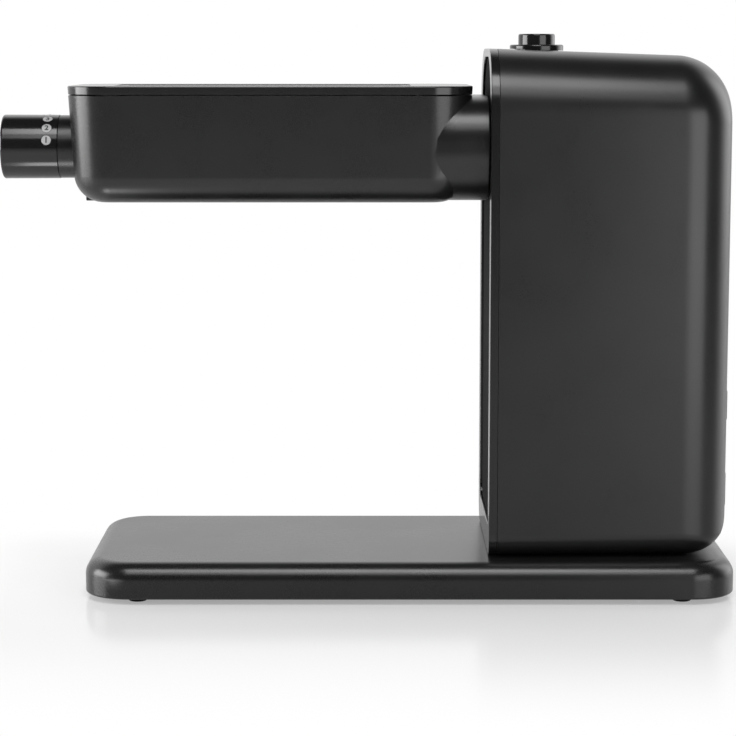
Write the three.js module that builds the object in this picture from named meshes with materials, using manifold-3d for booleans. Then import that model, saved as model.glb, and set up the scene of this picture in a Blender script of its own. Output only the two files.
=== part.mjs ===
// Electric pasta maker: a flat base, a drive tower that stands on its right end,
// and a roller head that hangs from the tower over the base.
// Millimetres, +X to the right, +Y away from the front, +Z up, feet on Z = 0.
// Until the whole is centred on the last lines, X = 0 is the tower's face towards the head.
import * as THREE from 'three';
import * as BufferGeometryUtils from 'three/addons/utils/BufferGeometryUtils.js';
import Module from 'manifold-3d';

// Clearances and overruns shared by every piece
const seatGap = 0.3;
const runGap = 0.35;
const overrun = 1;
const overlap = 0.5;

// Base
const baseLength = 307.25;
const baseWidth = 125;
const baseThickness = 16.7;
const baseCornerRadius = 22;
const baseTopFillet = 8;
const baseLowerEdge = 1;
const baseWall = 2.6;
const baseBeyondFace = 116.55;
const footHeight = 2.6;
const footRadius = 4.6;
const footStudRadius = 2.2;
const footFromEnd = 25.5;
const footFromSide = 11.5;
const floorPlateThickness = 2.2;
const screwRadius = 1.6;
const screwHeadRadius = 3;
const screwHeadHeight = 1.8;
const screwBossRadius = 4.2;
const screwFromEnd = 46;
const screwFromSide = 15;

// Tower
const towerWidth = 114.3;
const towerAboveAxis = 46.7;
const towerHalfDepth = 51.5;
const towerDraft = THREE.MathUtils.degToRad(2);
const towerWall = 2.6;
const towerTopRadius = 29;
const towerLowerRadius = 12;
const towerRearTopRadius = 25.5;
const towerRearSideRadius = 23;
const towerRearLowerRadius = 20;
const trimThickness = 3.7;
const trimSideBorder = 11.5;
const trimTopBorder = 4;
const trimLowerBorder = 13.5;
const panelCornerRadius = 27;
const panelRecess = 1.2;
const panelThickness = 2.4;
const panelFlange = 5;
const towerScrewLength = 13;
const towerScrewSpread = 26;
const towerScrewFromEnds = 22;

// Drive line
const axisHeight = 211;
const gearModule = 1.5;
const outputTeeth = 42;
const motorTeeth = 10;
const outputGearWidth = 8;
const motorGearWidth = 10;
const plateFrontPlace = 34.25;
const plateThickness = 3;
const gearSpace = 12;
const plateAboveAxis = 18;
const plateBelowMotor = 24;
const plateSideGap = 0.5;
const spacerRadius = 3.5;
const spacerInset = 6;
const shaftRadius = 5;
const hexRadius = 5;
const hexLength = 17;
const bushWall = 2.2;
const bushLip = 1.4;
const motorRadius = 21;
const motorRearRoom = 3.55;
const gearheadRadius = 17;
const gearheadLength = 7;
const motorCapLength = 6;
const motorShaftRadius = 3;
const socketBore = 15.3;
const socketWall = 2.6;
const socketLength = 27;
const socketFlangeRadius = 26;
const socketFlange = 2.4;

// Release button on the tower
const buttonPlace = 23.85;
const bezelRadius = 12.8;
const bezelRise = 2.7;
const bezelNeckRadius = 10.4;
const bezelDepth = 11;
const buttonRadius = 8.75;
const buttonRise = 5.1;
const buttonCap = 7.4;
const buttonStemRadius = 2.6;
const buttonEdge = 0.8;
const buttonSpringWire = 0.55;
const buttonSpringRadius = 5.6;
const buttonSpringTurns = 4;
const bezelFloor = 1.6;
const wedgeHalf = 6.6;
const wedgeTipHalf = 2.6;
const wedgeLength = 6;
const wedgeDepth = 4;
const retainerWire = 1;
const retainerReach = 15;
const retainerTipHalf = 4;
const retainerTopRise = 26;
const retainerShoulder = 14;
const retainerTip = 3;
const grooveDepth = 1.6;
const grooveWidth = 3;

// Power switch and inlet on the tower's rear face
const switchHeight = 86;
const switchFrameHeight = 15.8;
const switchFrameWidth = 12;
const switchFrameThickness = 3.2;
const switchBodyDepth = 13;
const switchWall = 1.2;
const rockerHeight = 10.7;
const rockerWidth = 6.9;
const rockerReach = 3.3;
const rockerLowReach = 1.2;
const rockerDepth = 4;
const rockerTipDrop = 1;
const rockerPivotDepth = 1.5;
const inletHeight = 46;
const inletHalfWidth = 11;
const inletHalfHeight = 7;
const inletRecess = 9;
const inletBody = 14;
const inletWall = 1.8;
const inletFlange = 2;
const pinRadius = 1.2;
const pinSpread = 4.3;

// Control board in the tower
const boardRise = 43;
const boardLength = 56;
const boardWidth = 58;
const boardThickness = 1.6;
const boardFromFace = 36;
const boardPostRadius = 3;
const coilBlock = 20;
const capacitorRadius = 6;
const capacitorHeight = 18;

// Roller head
const headGap = 7.55;
const headLength = 190;
const headHalfDepth = 46;
const headAboveAxis = 29.4;
const headHeight = 54.4;
const headCornerRadius = 21;
const headDraft = THREE.MathUtils.degToRad(3.5);
const headLowerFillet = 12.5;
const headWall = 2.5;
const rimHeight = 4.1;
const rimEdge = 0.8;
const rimTopThickness = 1.6;
const mouthHalfDepth = 20;
const mouthLedge = 2;
const mouthLedgeThickness = 1.3;
const guideThroat = 13;
const guideWall = 1.6;
const outletHalfDepth = 12;
const neckHalfDepth = 45.5;
const neckHalfHeight = 24.4;
const neckUpperRadius = 20.5;
const neckLowerRadius = 24;
const neckInHead = 26;
const neckRootNarrowing = 1.6;
const neckEndFillet = 0.6;
const fingerGuardWidth = 4.3;
const fingerGuardDrop = 0.3;

// Rollers, their gears and what carries them
const workingLength = 140;
const workingFromFace = 36.55;
const pressNip = 0.5;
const gapTravel = 2.4;
const pressTeeth = 15;
const ringOverlap = 1.9;
const ringGap = 0.4;
const cutterTeeth = 11;
const cutterRings = 32;
const inputTeeth = 8;
const rollerShaftRadius = 3.6;
const inputShaftRadius = 2.6;
const frameThickness = 3;
const carrierThickness = 2.6;
const headGearWidth = 5;
const headGearGap = 1;
const spigotRadius = 14.9;
const spigotWall = 2.2;
const spigotLength = 28;
const spigotFlange = 2.4;
const spigotFlangeRadius = 20;
const sleeveWall = 2.4;
const sleeveReach = 22;

// Thickness knob and its cam
const knobRadius = 15.2;
const knobTipRadius = 15.3;
const knobLength = 27.1;
const knobEdge = 1.6;
const collarLength = 8.3;
const collarRadius = 15;
const knobRange = THREE.MathUtils.degToRad(192);
const camSpare = THREE.MathUtils.degToRad(22);
const camBaseRadius = 7;
const camThickness = 3.4;
const camWallGap = 2;
const knobShaftRadius = 4;
const knobShaftDepth = 12;
const hookThickness = 6;
const hookWidth = 12;

// Facets
const cornerFacets = 4;
const roundFacets = 24;
const smallFacets = 12;
const ringFacets = 8;
const hexFacets = 6;
const wireFacets = 5;
const turnSteps = 8;
const ballBands = 4;
const samePlace = 1e-4;

// The third side of a right triangle, from its longest side and one other
function besideLeg(longest, other) {
  return Math.sqrt(Math.max(longest * longest - other * other, 0));
}

// Places worked out from the sizes above
const baseTop = footHeight + baseThickness;
const baseRight = baseBeyondFace;
const baseLeft = baseRight - baseLength;
const towerFloor = baseTop + seatGap;
const towerTop = axisHeight + towerAboveAxis;
const towerSlope = Math.tan(THREE.MathUtils.degToRad(2.05));
const shellFront = trimThickness + seatGap;
const headTop = axisHeight + headAboveAxis;
const headBottom = headTop - headHeight;
const rimRight = -headGap;
const rimLeft = rimRight - headLength;
const rimBottom = headTop - rimHeight;
const bodyTop = rimBottom - seatGap;
const workRight = -workingFromFace;
const workLeft = workRight - workingLength;
const rightCarrier = [workRight + seatGap * 2, workRight + seatGap * 2 + carrierThickness];
const rightFrame = [rightCarrier[1] + seatGap, rightCarrier[1] + seatGap + frameThickness];
const leftCarrier = [workLeft - seatGap * 2 - carrierThickness, workLeft - seatGap * 2];
const leftFrame = [leftCarrier[0] - seatGap - frameThickness, leftCarrier[0] - seatGap];
const gearPlaneA = [rightFrame[1] + headGearGap, rightFrame[1] + headGearGap + headGearWidth];
const gearPlaneB = [gearPlaneA[1] + seatGap, gearPlaneA[1] + seatGap + headGearWidth];
const gearDistance = (teethA, teethB) => gearModule * (teethA + teethB) / 2;
const motorHeight = axisHeight - gearDistance(outputTeeth, motorTeeth);
const plateTop = axisHeight + plateAboveAxis;
const plateBottom = motorHeight - plateBelowMotor;
const pressHalfSpread = gearDistance(pressTeeth, pressTeeth) / 2;
const pressRadius = pressHalfSpread - pressNip / 2;
const pressHeight = axisHeight + besideLeg(gearDistance(inputTeeth, pressTeeth), pressHalfSpread);
const cutterHalfSpread = gearDistance(cutterTeeth, cutterTeeth) / 2;
const cutterRadius = cutterHalfSpread + ringOverlap / 2;
const cutterCoreRadius = cutterHalfSpread * 2 - cutterRadius - ringGap;
const cutterHeight = axisHeight - besideLeg(gearDistance(inputTeeth, cutterTeeth), cutterHalfSpread);
const plateRearPlace = plateFrontPlace + plateThickness + gearSpace;
const neckWallPlace = -seatGap - headWall;

const wasm = await Module();
wasm.setup();

// Geometry helpers

function toSolid(geometry) {
  const plain = geometry.clone();
  plain.deleteAttribute('normal');
  plain.deleteAttribute('uv');
  const merged = BufferGeometryUtils.mergeVertices(plain, samePlace);
  return new wasm.Manifold(new wasm.Mesh({
    numProp: 3,
    vertProperties: new Float32Array(merged.attributes.position.array),
    triVerts: new Uint32Array(merged.index.array),
  }));
}

function toGeometry(solid) {
  const mesh = solid.getMesh();
  const geometry = new THREE.BufferGeometry();
  geometry.setAttribute('position', new THREE.BufferAttribute(mesh.vertProperties, mesh.numProp));
  geometry.setIndex(new THREE.BufferAttribute(mesh.triVerts, 1));
  return geometry;
}

function join(...solids) {
  return solids.reduce((whole, solid) => whole.add(solid));
}

function cut(whole, ...tools) {
  return tools.reduce((left, tool) => left.subtract(tool), whole);
}

function block(x, y, z) {
  const geometry = new THREE.BoxGeometry(x[1] - x[0], y[1] - y[0], z[1] - z[0]);
  geometry.translate((x[0] + x[1]) / 2, (y[0] + y[1]) / 2, (z[0] + z[1]) / 2);
  return toSolid(geometry);
}

// A rod along X from x[0] to x[1] round the line at y, z
function rodX(radius, x, y, z, facets = roundFacets) {
  const geometry = new THREE.CylinderGeometry(radius, radius, x[1] - x[0], facets);
  geometry.rotateZ(-Math.PI / 2);
  geometry.translate((x[0] + x[1]) / 2, y, z);
  return toSolid(geometry);
}

// A rod along Z from z[0] to z[1] round the line at x, y
function rodZ(radius, z, x, y, facets = roundFacets) {
  const geometry = new THREE.CylinderGeometry(radius, radius, z[1] - z[0], facets);
  geometry.rotateX(Math.PI / 2);
  geometry.translate(x, y, (z[0] + z[1]) / 2);
  return toSolid(geometry);
}

// A turned piece along X: profile points are [radius, place along X], and start and end on the axis
function turnedX(profile, y, z, facets = roundFacets) {
  const points = profile.map(([radius, along]) => new THREE.Vector2(radius, along));
  const geometry = new THREE.LatheGeometry(points, facets);
  geometry.rotateZ(-Math.PI / 2);
  geometry.translate(0, y, z);
  return toSolid(geometry);
}

// A turned piece along Z: profile points are [radius, height], and start and end on the axis
function turnedZ(profile, x, y, facets = roundFacets) {
  const points = profile.map(([radius, along]) => new THREE.Vector2(radius, along));
  const geometry = new THREE.LatheGeometry(points, facets);
  geometry.rotateX(Math.PI / 2);
  geometry.translate(x, y, 0);
  return toSolid(geometry);
}

// An outline of [u, v] points extruded along X, with u on Y and v on Z
function extrudedX(outline, x) {
  const shape = new THREE.Shape(outline.map(([u, v]) => new THREE.Vector2(u, v)));
  const geometry = new THREE.ExtrudeGeometry(shape, { depth: x[1] - x[0], bevelEnabled: false });
  geometry.applyMatrix4(new THREE.Matrix4().set(
    0, 0, 1, x[0],
    1, 0, 0, 0,
    0, 1, 0, 0,
    0, 0, 0, 1,
  ));
  return toSolid(geometry);
}

// An outline of [u, v] points extruded along Y, with u on X and v on Z
function extrudedY(outline, y) {
  const shape = new THREE.Shape(outline.map(([u, v]) => new THREE.Vector2(u, v)));
  const geometry = new THREE.ExtrudeGeometry(shape, { depth: y[1] - y[0], bevelEnabled: false });
  geometry.applyMatrix4(new THREE.Matrix4().set(
    1, 0, 0, 0,
    0, 0, -1, y[1],
    0, 1, 0, 0,
    0, 0, 0, 1,
  ));
  return toSolid(geometry);
}

// The corner points of a rectangle with four corner radii, anticlockwise from the first corner
// radii: [high u high v, low u high v, low u low v, high u low v]
function roundedOutline(u, v, radii) {
  const centres = [
    [u[1] - radii[0], v[1] - radii[0]],
    [u[0] + radii[1], v[1] - radii[1]],
    [u[0] + radii[2], v[0] + radii[2]],
    [u[1] - radii[3], v[0] + radii[3]],
  ];
  const outline = [];
  centres.forEach(([cu, cv], corner) => {
    for (let step = 0; step <= cornerFacets; step += 1) {
      const angle = (corner + step / cornerFacets) * Math.PI / 2;
      outline.push([cu + radii[corner] * Math.cos(angle), cv + radii[corner] * Math.sin(angle)]);
    }
  });
  return outline;
}

// A solid through rings of equal point counts, closed flat at both ends
// rings: [{ outline, at }], and place turns (u, v, along) into [x, y, z]
function lofted(rings, place) {
  const count = rings[0].outline.length;
  const positions = [];
  rings.forEach(({ outline, at }) => {
    outline.forEach(([u, v]) => positions.push(...place(u, v, at)));
  });
  const index = [];
  for (let ring = 0; ring + 1 < rings.length; ring += 1) {
    for (let side = 0; side < count; side += 1) {
      const a = ring * count + side;
      const b = ring * count + (side + 1) % count;
      index.push(a, b, b + count, a, b + count, a + count);
    }
  }
  const last = (rings.length - 1) * count;
  for (let side = 1; side + 1 < count; side += 1) {
    index.push(0, side + 1, side);
    index.push(last, last + side, last + side + 1);
  }
  const geometry = new THREE.BufferGeometry();
  geometry.setAttribute('position', new THREE.BufferAttribute(new Float32Array(positions), 3));
  geometry.setIndex(index);
  return toSolid(geometry);
}

const alongZ = (u, v, along) => [u, v, along];
const alongX = (u, v, along) => [along, u, v];

// How far a rounded edge of the given radius has fallen back, at each step in from its tip
function edgeSteps(radius, steps = cornerFacets) {
  const places = [];
  for (let step = 0; step <= steps; step += 1) {
    const angle = step / steps * Math.PI / 2;
    places.push({ along: radius * (1 - Math.cos(angle)), fall: radius * (1 - Math.sin(angle)) });
  }
  return places;
}

// How far a rounded edge has fallen back at a distance from its tip
function fallAt(radius, distance) {
  const short = Math.max(radius - distance, 0);
  return radius - Math.sqrt(Math.max(radius * radius - short * short, 0));
}

// Materials
function finish(color, roughness, metalness) {
  return { color, roughness, metalness };
}
const glossBlack = finish('#131313', 0.12, 0);
const satinBlack = finish('#2b2b2b', 0.38, 0);
const mattBlack = finish('#1b1b1b', 0.7, 0);
const rubberBlack = finish('#101010', 0.9, 0);
const steel = finish('#b9bcc0', 0.3, 1);
const zinc = finish('#a7abb0', 0.45, 1);
const nylon = finish('#e6e3d8', 0.5, 0);
const darkNylon = finish('#3a3b3d', 0.55, 0);
const brass = finish('#b08d4a', 0.35, 1);
const boardGreen = finish('#2c5a3a', 0.6, 0);

const assembly = new THREE.Group();

function piece(name, solid, { color, roughness, metalness }, parent = assembly) {
  const material = new THREE.MeshStandardMaterial({ color, roughness, metalness });
  const mesh = new THREE.Mesh(toGeometry(solid), material);
  mesh.name = name;
  parent.add(mesh);
  return mesh;
}

// Base

function slab(inset, z, topFillet, lowerEdge, steps = cornerFacets) {
  const rings = [];
  const ring = (at, fall) => {
    const radius = Math.max(baseCornerRadius - inset - fall, overlap);
    const u = [baseLeft + inset + fall, baseRight - inset - fall];
    const v = [inset + fall - baseWidth / 2, baseWidth / 2 - inset - fall];
    rings.push({ outline: roundedOutline(u, v, [radius, radius, radius, radius]), at });
  };
  edgeSteps(lowerEdge, 1).forEach(({ along, fall }) => ring(z[0] + along, fall));
  edgeSteps(topFillet, steps).reverse().forEach(({ along, fall }) => ring(z[1] - along, fall));
  return lofted(rings, alongZ);
}

const baseScrewPlaces = [-1, 1].flatMap((side) => [
  [baseLeft + screwFromEnd, side * (baseWidth / 2 - screwFromSide)],
  [baseRight - screwFromEnd, side * (baseWidth / 2 - screwFromSide)],
]);
const towerScrewPlaces = [-1, 1].flatMap((side) => [
  [towerScrewFromEnds, side * towerScrewSpread],
  [towerWidth - towerScrewFromEnds - towerLowerRadius, side * towerScrewSpread],
]);
const baseCeiling = baseTop - baseWall;
const floorPlateTop = footHeight + floorPlateThickness;

function makeBaseCover() {
  const hollow = slab(baseWall, [footHeight - overrun, baseCeiling], baseTopFillet - baseWall, overlap, 2);
  let cover = cut(slab(0, [footHeight, baseTop], baseTopFillet, baseLowerEdge), hollow);
  baseScrewPlaces.forEach(([x, y]) => {
    const boss = rodZ(screwBossRadius, [floorPlateTop + seatGap, baseCeiling + overlap], x, y, smallFacets);
    const bore = [floorPlateTop - overrun, baseCeiling - overlap];
    cover = cut(cover.add(boss), rodZ(screwRadius + seatGap, bore, x, y, smallFacets));
  });
  towerScrewPlaces.forEach(([x, y]) => {
    const bore = [baseCeiling - overrun, baseTop + overrun];
    cover = cover.subtract(rodZ(screwRadius + seatGap, bore, x, y, smallFacets));
  });
  piece('base_cover', cover, satinBlack);
}

function makeFloorPlate() {
  const inset = baseWall + seatGap;
  let plate = slab(inset, [footHeight, floorPlateTop], overlap, overlap, 1);
  baseScrewPlaces.forEach(([x, y]) => {
    const bore = [footHeight - overrun, floorPlateTop + overrun];
    plate = plate.subtract(rodZ(screwRadius + seatGap, bore, x, y, smallFacets));
  });
  footPlaces.forEach(([x, y]) => {
    const bore = [footHeight - overrun, floorPlateTop + overrun];
    plate = plate.subtract(rodZ(footStudRadius + seatGap, bore, x, y, smallFacets));
  });
  piece('base_floor_plate', plate, mattBlack);
}

const footPlaces = [-1, 1].flatMap((side) => [
  [baseLeft + footFromEnd, side * (baseWidth / 2 - footFromSide)],
  [baseRight - footFromEnd, side * (baseWidth / 2 - footFromSide)],
]);

function makeFeet() {
  footPlaces.forEach(([x, y], number) => {
    const pad = rodZ(footRadius, [0, footHeight - seatGap], x, y, smallFacets);
    const stud = [footHeight - seatGap - overlap, floorPlateTop + overlap];
    piece(`foot_${number + 1}`, pad.add(rodZ(footStudRadius, stud, x, y, smallFacets)), rubberBlack);
  });
}

function makeBaseScrews() {
  baseScrewPlaces.forEach(([x, y], number) => {
    const headTopPlace = footHeight - seatGap;
    const head = rodZ(screwHeadRadius, [headTopPlace - screwHeadHeight, headTopPlace], x, y, smallFacets);
    const shank = rodZ(screwRadius, [headTopPlace - overlap, baseCeiling - overrun], x, y, smallFacets);
    piece(`base_screw_${number + 1}`, head.add(shank), steel);
  });
}

function makeTowerScrews() {
  towerScrewPlaces.forEach(([x, y], number) => {
    const headTopPlace = baseCeiling - seatGap;
    const head = rodZ(screwHeadRadius, [headTopPlace - screwHeadHeight, headTopPlace], x, y, smallFacets);
    const top = towerFloor + towerScrewLength - overrun;
    const shank = rodZ(screwRadius, [headTopPlace - overlap, top], x, y, smallFacets);
    piece(`tower_screw_${number + 1}`, head.add(shank), steel);
  });
}

// Tower

// The tower's section at a distance back from its face, drawn in by an inset all round
function towerSection(at, inset, length) {
  const fromRear = length - at;
  const side = towerHalfDepth - at * Math.tan(towerDraft);
  const sideFall = fallAt(towerRearSideRadius - inset, fromRear);
  const y = side - inset - sideFall;
  const top = towerTop - at * towerSlope - inset - fallAt(towerRearTopRadius - inset, fromRear);
  const low = towerFloor + inset + fallAt(towerRearLowerRadius - inset, fromRear);
  const high = Math.max(towerTopRadius - inset - sideFall, overlap);
  const foot = Math.max(towerLowerRadius - inset - sideFall, overlap);
  return { outline: roundedOutline([-y, y], [low, top], [high, high, foot, foot]), at };
}

function towerBody(inset, front) {
  const length = towerWidth - inset;
  const places = [front, length - towerRearTopRadius + inset];
  const rearSteps = edgeSteps(towerRearTopRadius - inset, cornerFacets + 2).reverse();
  rearSteps.forEach(({ along }) => places.push(length - along));
  const rings = [...new Set(places)].map((at) => towerSection(at, inset, length));
  return lofted(rings, alongX);
}

function towerScrewBosses() {
  return towerScrewPlaces.map(([x, y]) => (
    rodZ(screwBossRadius, [towerFloor + overlap, towerFloor + towerScrewLength], x, y, smallFacets)
  ));
}

const boardLevel = baseTop + boardRise;
const boardPostPlaces = [-1, 1].flatMap((side) => [
  [boardFromFace + boardPostRadius * 2, side * (boardWidth / 2 - boardPostRadius * 2)],
  [boardFromFace + boardLength - boardPostRadius * 2, side * (boardWidth / 2 - boardPostRadius * 2)],
]);

function makeTowerShell() {
  let shell = cut(towerBody(0, shellFront), towerBody(towerWall, shellFront - overrun));
  shell = join(shell, ...towerScrewBosses());
  boardPostPlaces.forEach(([x, y]) => {
    const post = [towerFloor + overlap, boardLevel - seatGap];
    shell = shell.add(rodZ(boardPostRadius, post, x, y, smallFacets));
  });
  towerScrewPlaces.forEach(([x, y]) => {
    const bore = [towerFloor - overrun, towerFloor + towerScrewLength - overlap];
    shell = shell.subtract(rodZ(screwRadius + seatGap, bore, x, y, smallFacets));
  });
  const bezelHole = [towerTop - bezelDepth, towerTop + overrun];
  shell = shell.subtract(rodZ(bezelNeckRadius + seatGap, bezelHole, buttonPlace, 0));
  const rearCut = [towerWidth - towerWall * 3, towerWidth + overrun];
  const half = (size) => [-size / 2, size / 2];
  shell = shell.subtract(block(rearCut,
    half(switchFrameWidth - switchWall * 2 + seatGap * 2),
    [switchHeight - switchFrameHeight / 2 + switchWall - seatGap,
      switchHeight + switchFrameHeight / 2 - switchWall + seatGap]));
  shell = shell.subtract(block(rearCut,
    [-inletHalfWidth - seatGap, inletHalfWidth + seatGap],
    [inletHeight - inletHalfHeight - seatGap, inletHeight + inletHalfHeight + seatGap]));
  piece('tower_shell', shell, glossBlack);
}

function panelOutline(grow) {
  const y = towerHalfDepth - trimSideBorder + grow;
  const z = [towerFloor + trimLowerBorder - grow, towerTop - trimTopBorder + grow];
  const low = panelCornerRadius / 4 + grow;
  const high = panelCornerRadius + grow;
  return roundedOutline([-y, y], z, [high, high, low, low]);
}

function makeTrimFrame() {
  const rings = [0, trimThickness].map((at) => towerSection(at, 0, towerWidth));
  const ring = cut(lofted(rings, alongX),
    extrudedX(panelOutline(0), [-overrun, trimThickness + overrun]));
  piece('tower_trim_frame', ring, glossBlack);
}

function makeSidePanel() {
  const back = trimThickness + seatGap + panelThickness;
  const face = extrudedX(panelOutline(-seatGap), [panelRecess, back]);
  const flange = extrudedX(panelOutline(panelFlange - seatGap), [trimThickness + seatGap, back]);
  const room = lofted([shellFront - overrun, back + overrun].map((at) => (
    towerSection(at, towerWall + seatGap, towerWidth)
  )), alongX);
  const panel = cut(face.add(flange.intersect(room)),
    rodX(spigotRadius + seatGap, [0, back + overrun], 0, axisHeight));
  piece('tower_side_panel', panel, mattBlack);
}

// Socket in the tower that takes the head's spigot

const panelBack = trimThickness + seatGap + panelThickness;
const socketFront = panelBack + seatGap;
const socketBack = socketFront + socketLength;

function makeSocket() {
  const outer = socketBore + socketWall;
  let socket = join(
    rodX(outer, [socketFront, socketBack], 0, axisHeight),
    rodX(socketFlangeRadius, [socketFront, socketFront + socketFlange], 0, axisHeight),
  );
  socket = socket.subtract(rodX(socketBore, [socketFront - overrun, socketBack + overrun], 0, axisHeight));
  const slot = [buttonPlace - retainerWire - seatGap * 2, buttonPlace + retainerWire + seatGap * 2];
  const slotHeight = [axisHeight - socketBore, axisHeight + socketBore];
  const slotDepth = [retainerReach - retainerWire * 3, outer + overrun];
  [slotDepth, [-slotDepth[1], -slotDepth[0]]].forEach((y) => {
    socket = socket.subtract(block(slot, y, slotHeight));
  });
  piece('spigot_socket', socket, darkNylon);
}

// Gear case between the two plates

function plateHalfWidth(at) {
  return towerHalfDepth - at * Math.tan(towerDraft) - towerWall - plateSideGap;
}

// One spacer at the upper front corner and one at the lower rear corner
const spacerReach = plateHalfWidth(plateRearPlace) - spacerInset;
const spacerPlaces = [
  [-spacerReach, plateTop - spacerInset],
  [spacerReach, plateBottom + spacerInset],
];

function gearPlate(at, holes) {
  const y = plateHalfWidth(at + plateThickness);
  const plate = block([at, at + plateThickness], [-y, y], [plateBottom, plateTop]);
  return cut(plate, ...holes.map(([radius, height]) => (
    rodX(radius, [at - overrun, at + plateThickness + overrun], 0, height)
  )));
}

function makeGearCase() {
  const bushHole = shaftRadius + runGap + bushWall + seatGap;
  piece('gear_plate_front', gearPlate(plateFrontPlace, [
    [bushHole, axisHeight], [motorShaftRadius + runGap, motorHeight],
  ]), zinc);
  piece('gear_plate_rear', gearPlate(plateRearPlace, [
    [bushHole, axisHeight], [motorShaftRadius * 2, motorHeight],
  ]), zinc);
  const gap = [plateFrontPlace + plateThickness + seatGap, plateRearPlace - seatGap];
  spacerPlaces.forEach(([y, z], number) => {
    piece(`plate_spacer_${number + 1}`, rodX(spacerRadius, gap, y, z, smallFacets), steel);
  });
}

function bush(at, side) {
  const bore = shaftRadius + runGap;
  const outer = bore + bushWall;
  const span = [at - seatGap, at + plateThickness + seatGap];
  const lip = side < 0 ? [span[0] - bushLip, span[0]] : [span[1], span[1] + bushLip];
  const body = join(
    rodX(outer, [Math.min(span[0], lip[0]), Math.max(span[1], lip[1])], 0, axisHeight, smallFacets),
    rodX(outer + bushLip, lip, 0, axisHeight, smallFacets),
  );
  const through = [span[0] - bushLip - overrun, span[1] + bushLip + overrun];
  return body.subtract(rodX(bore, through, 0, axisHeight, smallFacets));
}

function makeBushes() {
  piece('shaft_bush_front', bush(plateFrontPlace, -1), brass);
  piece('shaft_bush_rear', bush(plateRearPlace, 1), brass);
}

// Gears

// Shares of the module that give a tooth's height, depth and half its width at tip and root
const toothShares = { top: 0.95, root: 1.25, tipHalf: 0.22, rootHalf: 0.86 };

// A toothed outline round a point, with the middle of one tooth at the phase angle
function gearOutline(teeth, phase, y, z, shares = toothShares) {
  const pitch = gearModule * teeth / 2;
  const flanks = [
    [pitch - shares.root * gearModule, shares.rootHalf],
    [pitch + shares.top * gearModule, shares.tipHalf],
  ];
  const outline = [];
  for (let tooth = 0; tooth < teeth; tooth += 1) {
    const middle = phase + tooth * 2 * Math.PI / teeth;
    [...flanks.map(([radius, half]) => [radius, -half]),
      ...[...flanks].reverse().map(([radius, half]) => [radius, half])].forEach(([radius, half]) => {
      const angle = middle + half * gearModule / radius;
      outline.push([y + radius * Math.cos(angle), z + radius * Math.sin(angle)]);
    });
  }
  return outline;
}

// The phase that puts a gear in mesh with a neighbour of known phase
function meshedPhase(from, to, phase, teethFrom, teethTo) {
  const line = Math.atan2(to[1] - from[1], to[0] - from[0]);
  const offset = (phase - line) * teethFrom / (2 * Math.PI);
  return line + Math.PI + (1 / 2 - offset) * 2 * Math.PI / teethTo;
}

const axisPlace = [0, axisHeight];
const motorPlace = [0, motorHeight];
const pressFront = [-pressHalfSpread, pressHeight];
const pressRear = [pressHalfSpread + gapTravel, pressHeight];
const cutterFront = [-cutterHalfSpread, cutterHeight];
const cutterRear = [cutterHalfSpread, cutterHeight];
const inputPhase = Math.PI / 2;
const pressFrontPhase = meshedPhase(axisPlace, pressFront, inputPhase, inputTeeth, pressTeeth);
const pressRearPhase = meshedPhase(pressFront, pressRear, pressFrontPhase, pressTeeth, pressTeeth);
const cutterFrontPhase = meshedPhase(axisPlace, cutterFront, inputPhase, inputTeeth, cutterTeeth);
const cutterRearPhase = meshedPhase(cutterFront, cutterRear, cutterFrontPhase, cutterTeeth, cutterTeeth);
const outputPhase = -Math.PI / 2;
const motorPhase = meshedPhase(axisPlace, motorPlace, outputPhase, outputTeeth, motorTeeth);

function gear(name, teeth, place, phase, x, boreRadius, material, shares = toothShares) {
  let solid = extrudedX(gearOutline(teeth, phase, place[0], place[1], shares), x);
  if (boreRadius > 0) {
    const bore = [x[0] - overrun, x[1] + overrun];
    solid = solid.subtract(rodX(boreRadius, bore, place[0], place[1], smallFacets));
  }
  piece(name, solid, material);
}

function makeDrive() {
  const gearFront = plateFrontPlace + plateThickness + (gearSpace - outputGearWidth) / 2;
  const gearSpan = [gearFront, gearFront + outputGearWidth];
  const rearEnd = plateRearPlace + plateThickness + seatGap + bushLip;
  const hexEnd = panelBack + hexLength;
  const shaft = join(
    rodX(hexRadius, [panelBack, hexEnd], 0, axisHeight, hexFacets),
    rodX(shaftRadius, [hexEnd - overlap, rearEnd], 0, axisHeight, smallFacets),
  );
  piece('output_shaft', shaft, steel);
  gear('output_gear', outputTeeth, axisPlace, outputPhase, gearSpan, shaftRadius + seatGap, darkNylon);
  const pinionFront = plateFrontPlace + plateThickness + (gearSpace - motorGearWidth) / 2;
  const pinionSpan = [pinionFront, pinionFront + motorGearWidth];
  const motorShaft = [plateFrontPlace + seatGap, plateRearPlace + plateThickness + gearheadLength / 2];
  piece('motor_pinion', join(
    extrudedX(gearOutline(motorTeeth, motorPhase, motorPlace[0], motorPlace[1]), pinionSpan),
    rodX(motorShaftRadius, motorShaft, motorPlace[0], motorPlace[1], smallFacets),
  ), brass);
}

function makeMotor() {
  const plateBack = plateRearPlace + plateThickness;
  const headStart = plateBack + seatGap;
  const canStart = headStart + gearheadLength + seatGap;
  const canEnd = towerWidth - towerWall - motorRearRoom - motorCapLength - seatGap;
  const bore = [headStart - overrun, plateBack + gearheadLength / 2 + seatGap];
  piece('motor_gearhead', cut(
    rodX(gearheadRadius, [headStart, headStart + gearheadLength], 0, motorHeight),
    rodX(motorShaftRadius + runGap, bore, 0, motorHeight, smallFacets),
  ), zinc);
  piece('motor_can', rodX(motorRadius, [canStart, canEnd], 0, motorHeight), steel);
  const cap = [canEnd + seatGap, canEnd + seatGap + motorCapLength];
  piece('motor_rear_cap', rodX(motorRadius - seatGap, cap, 0, motorHeight), darkNylon);
}

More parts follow.
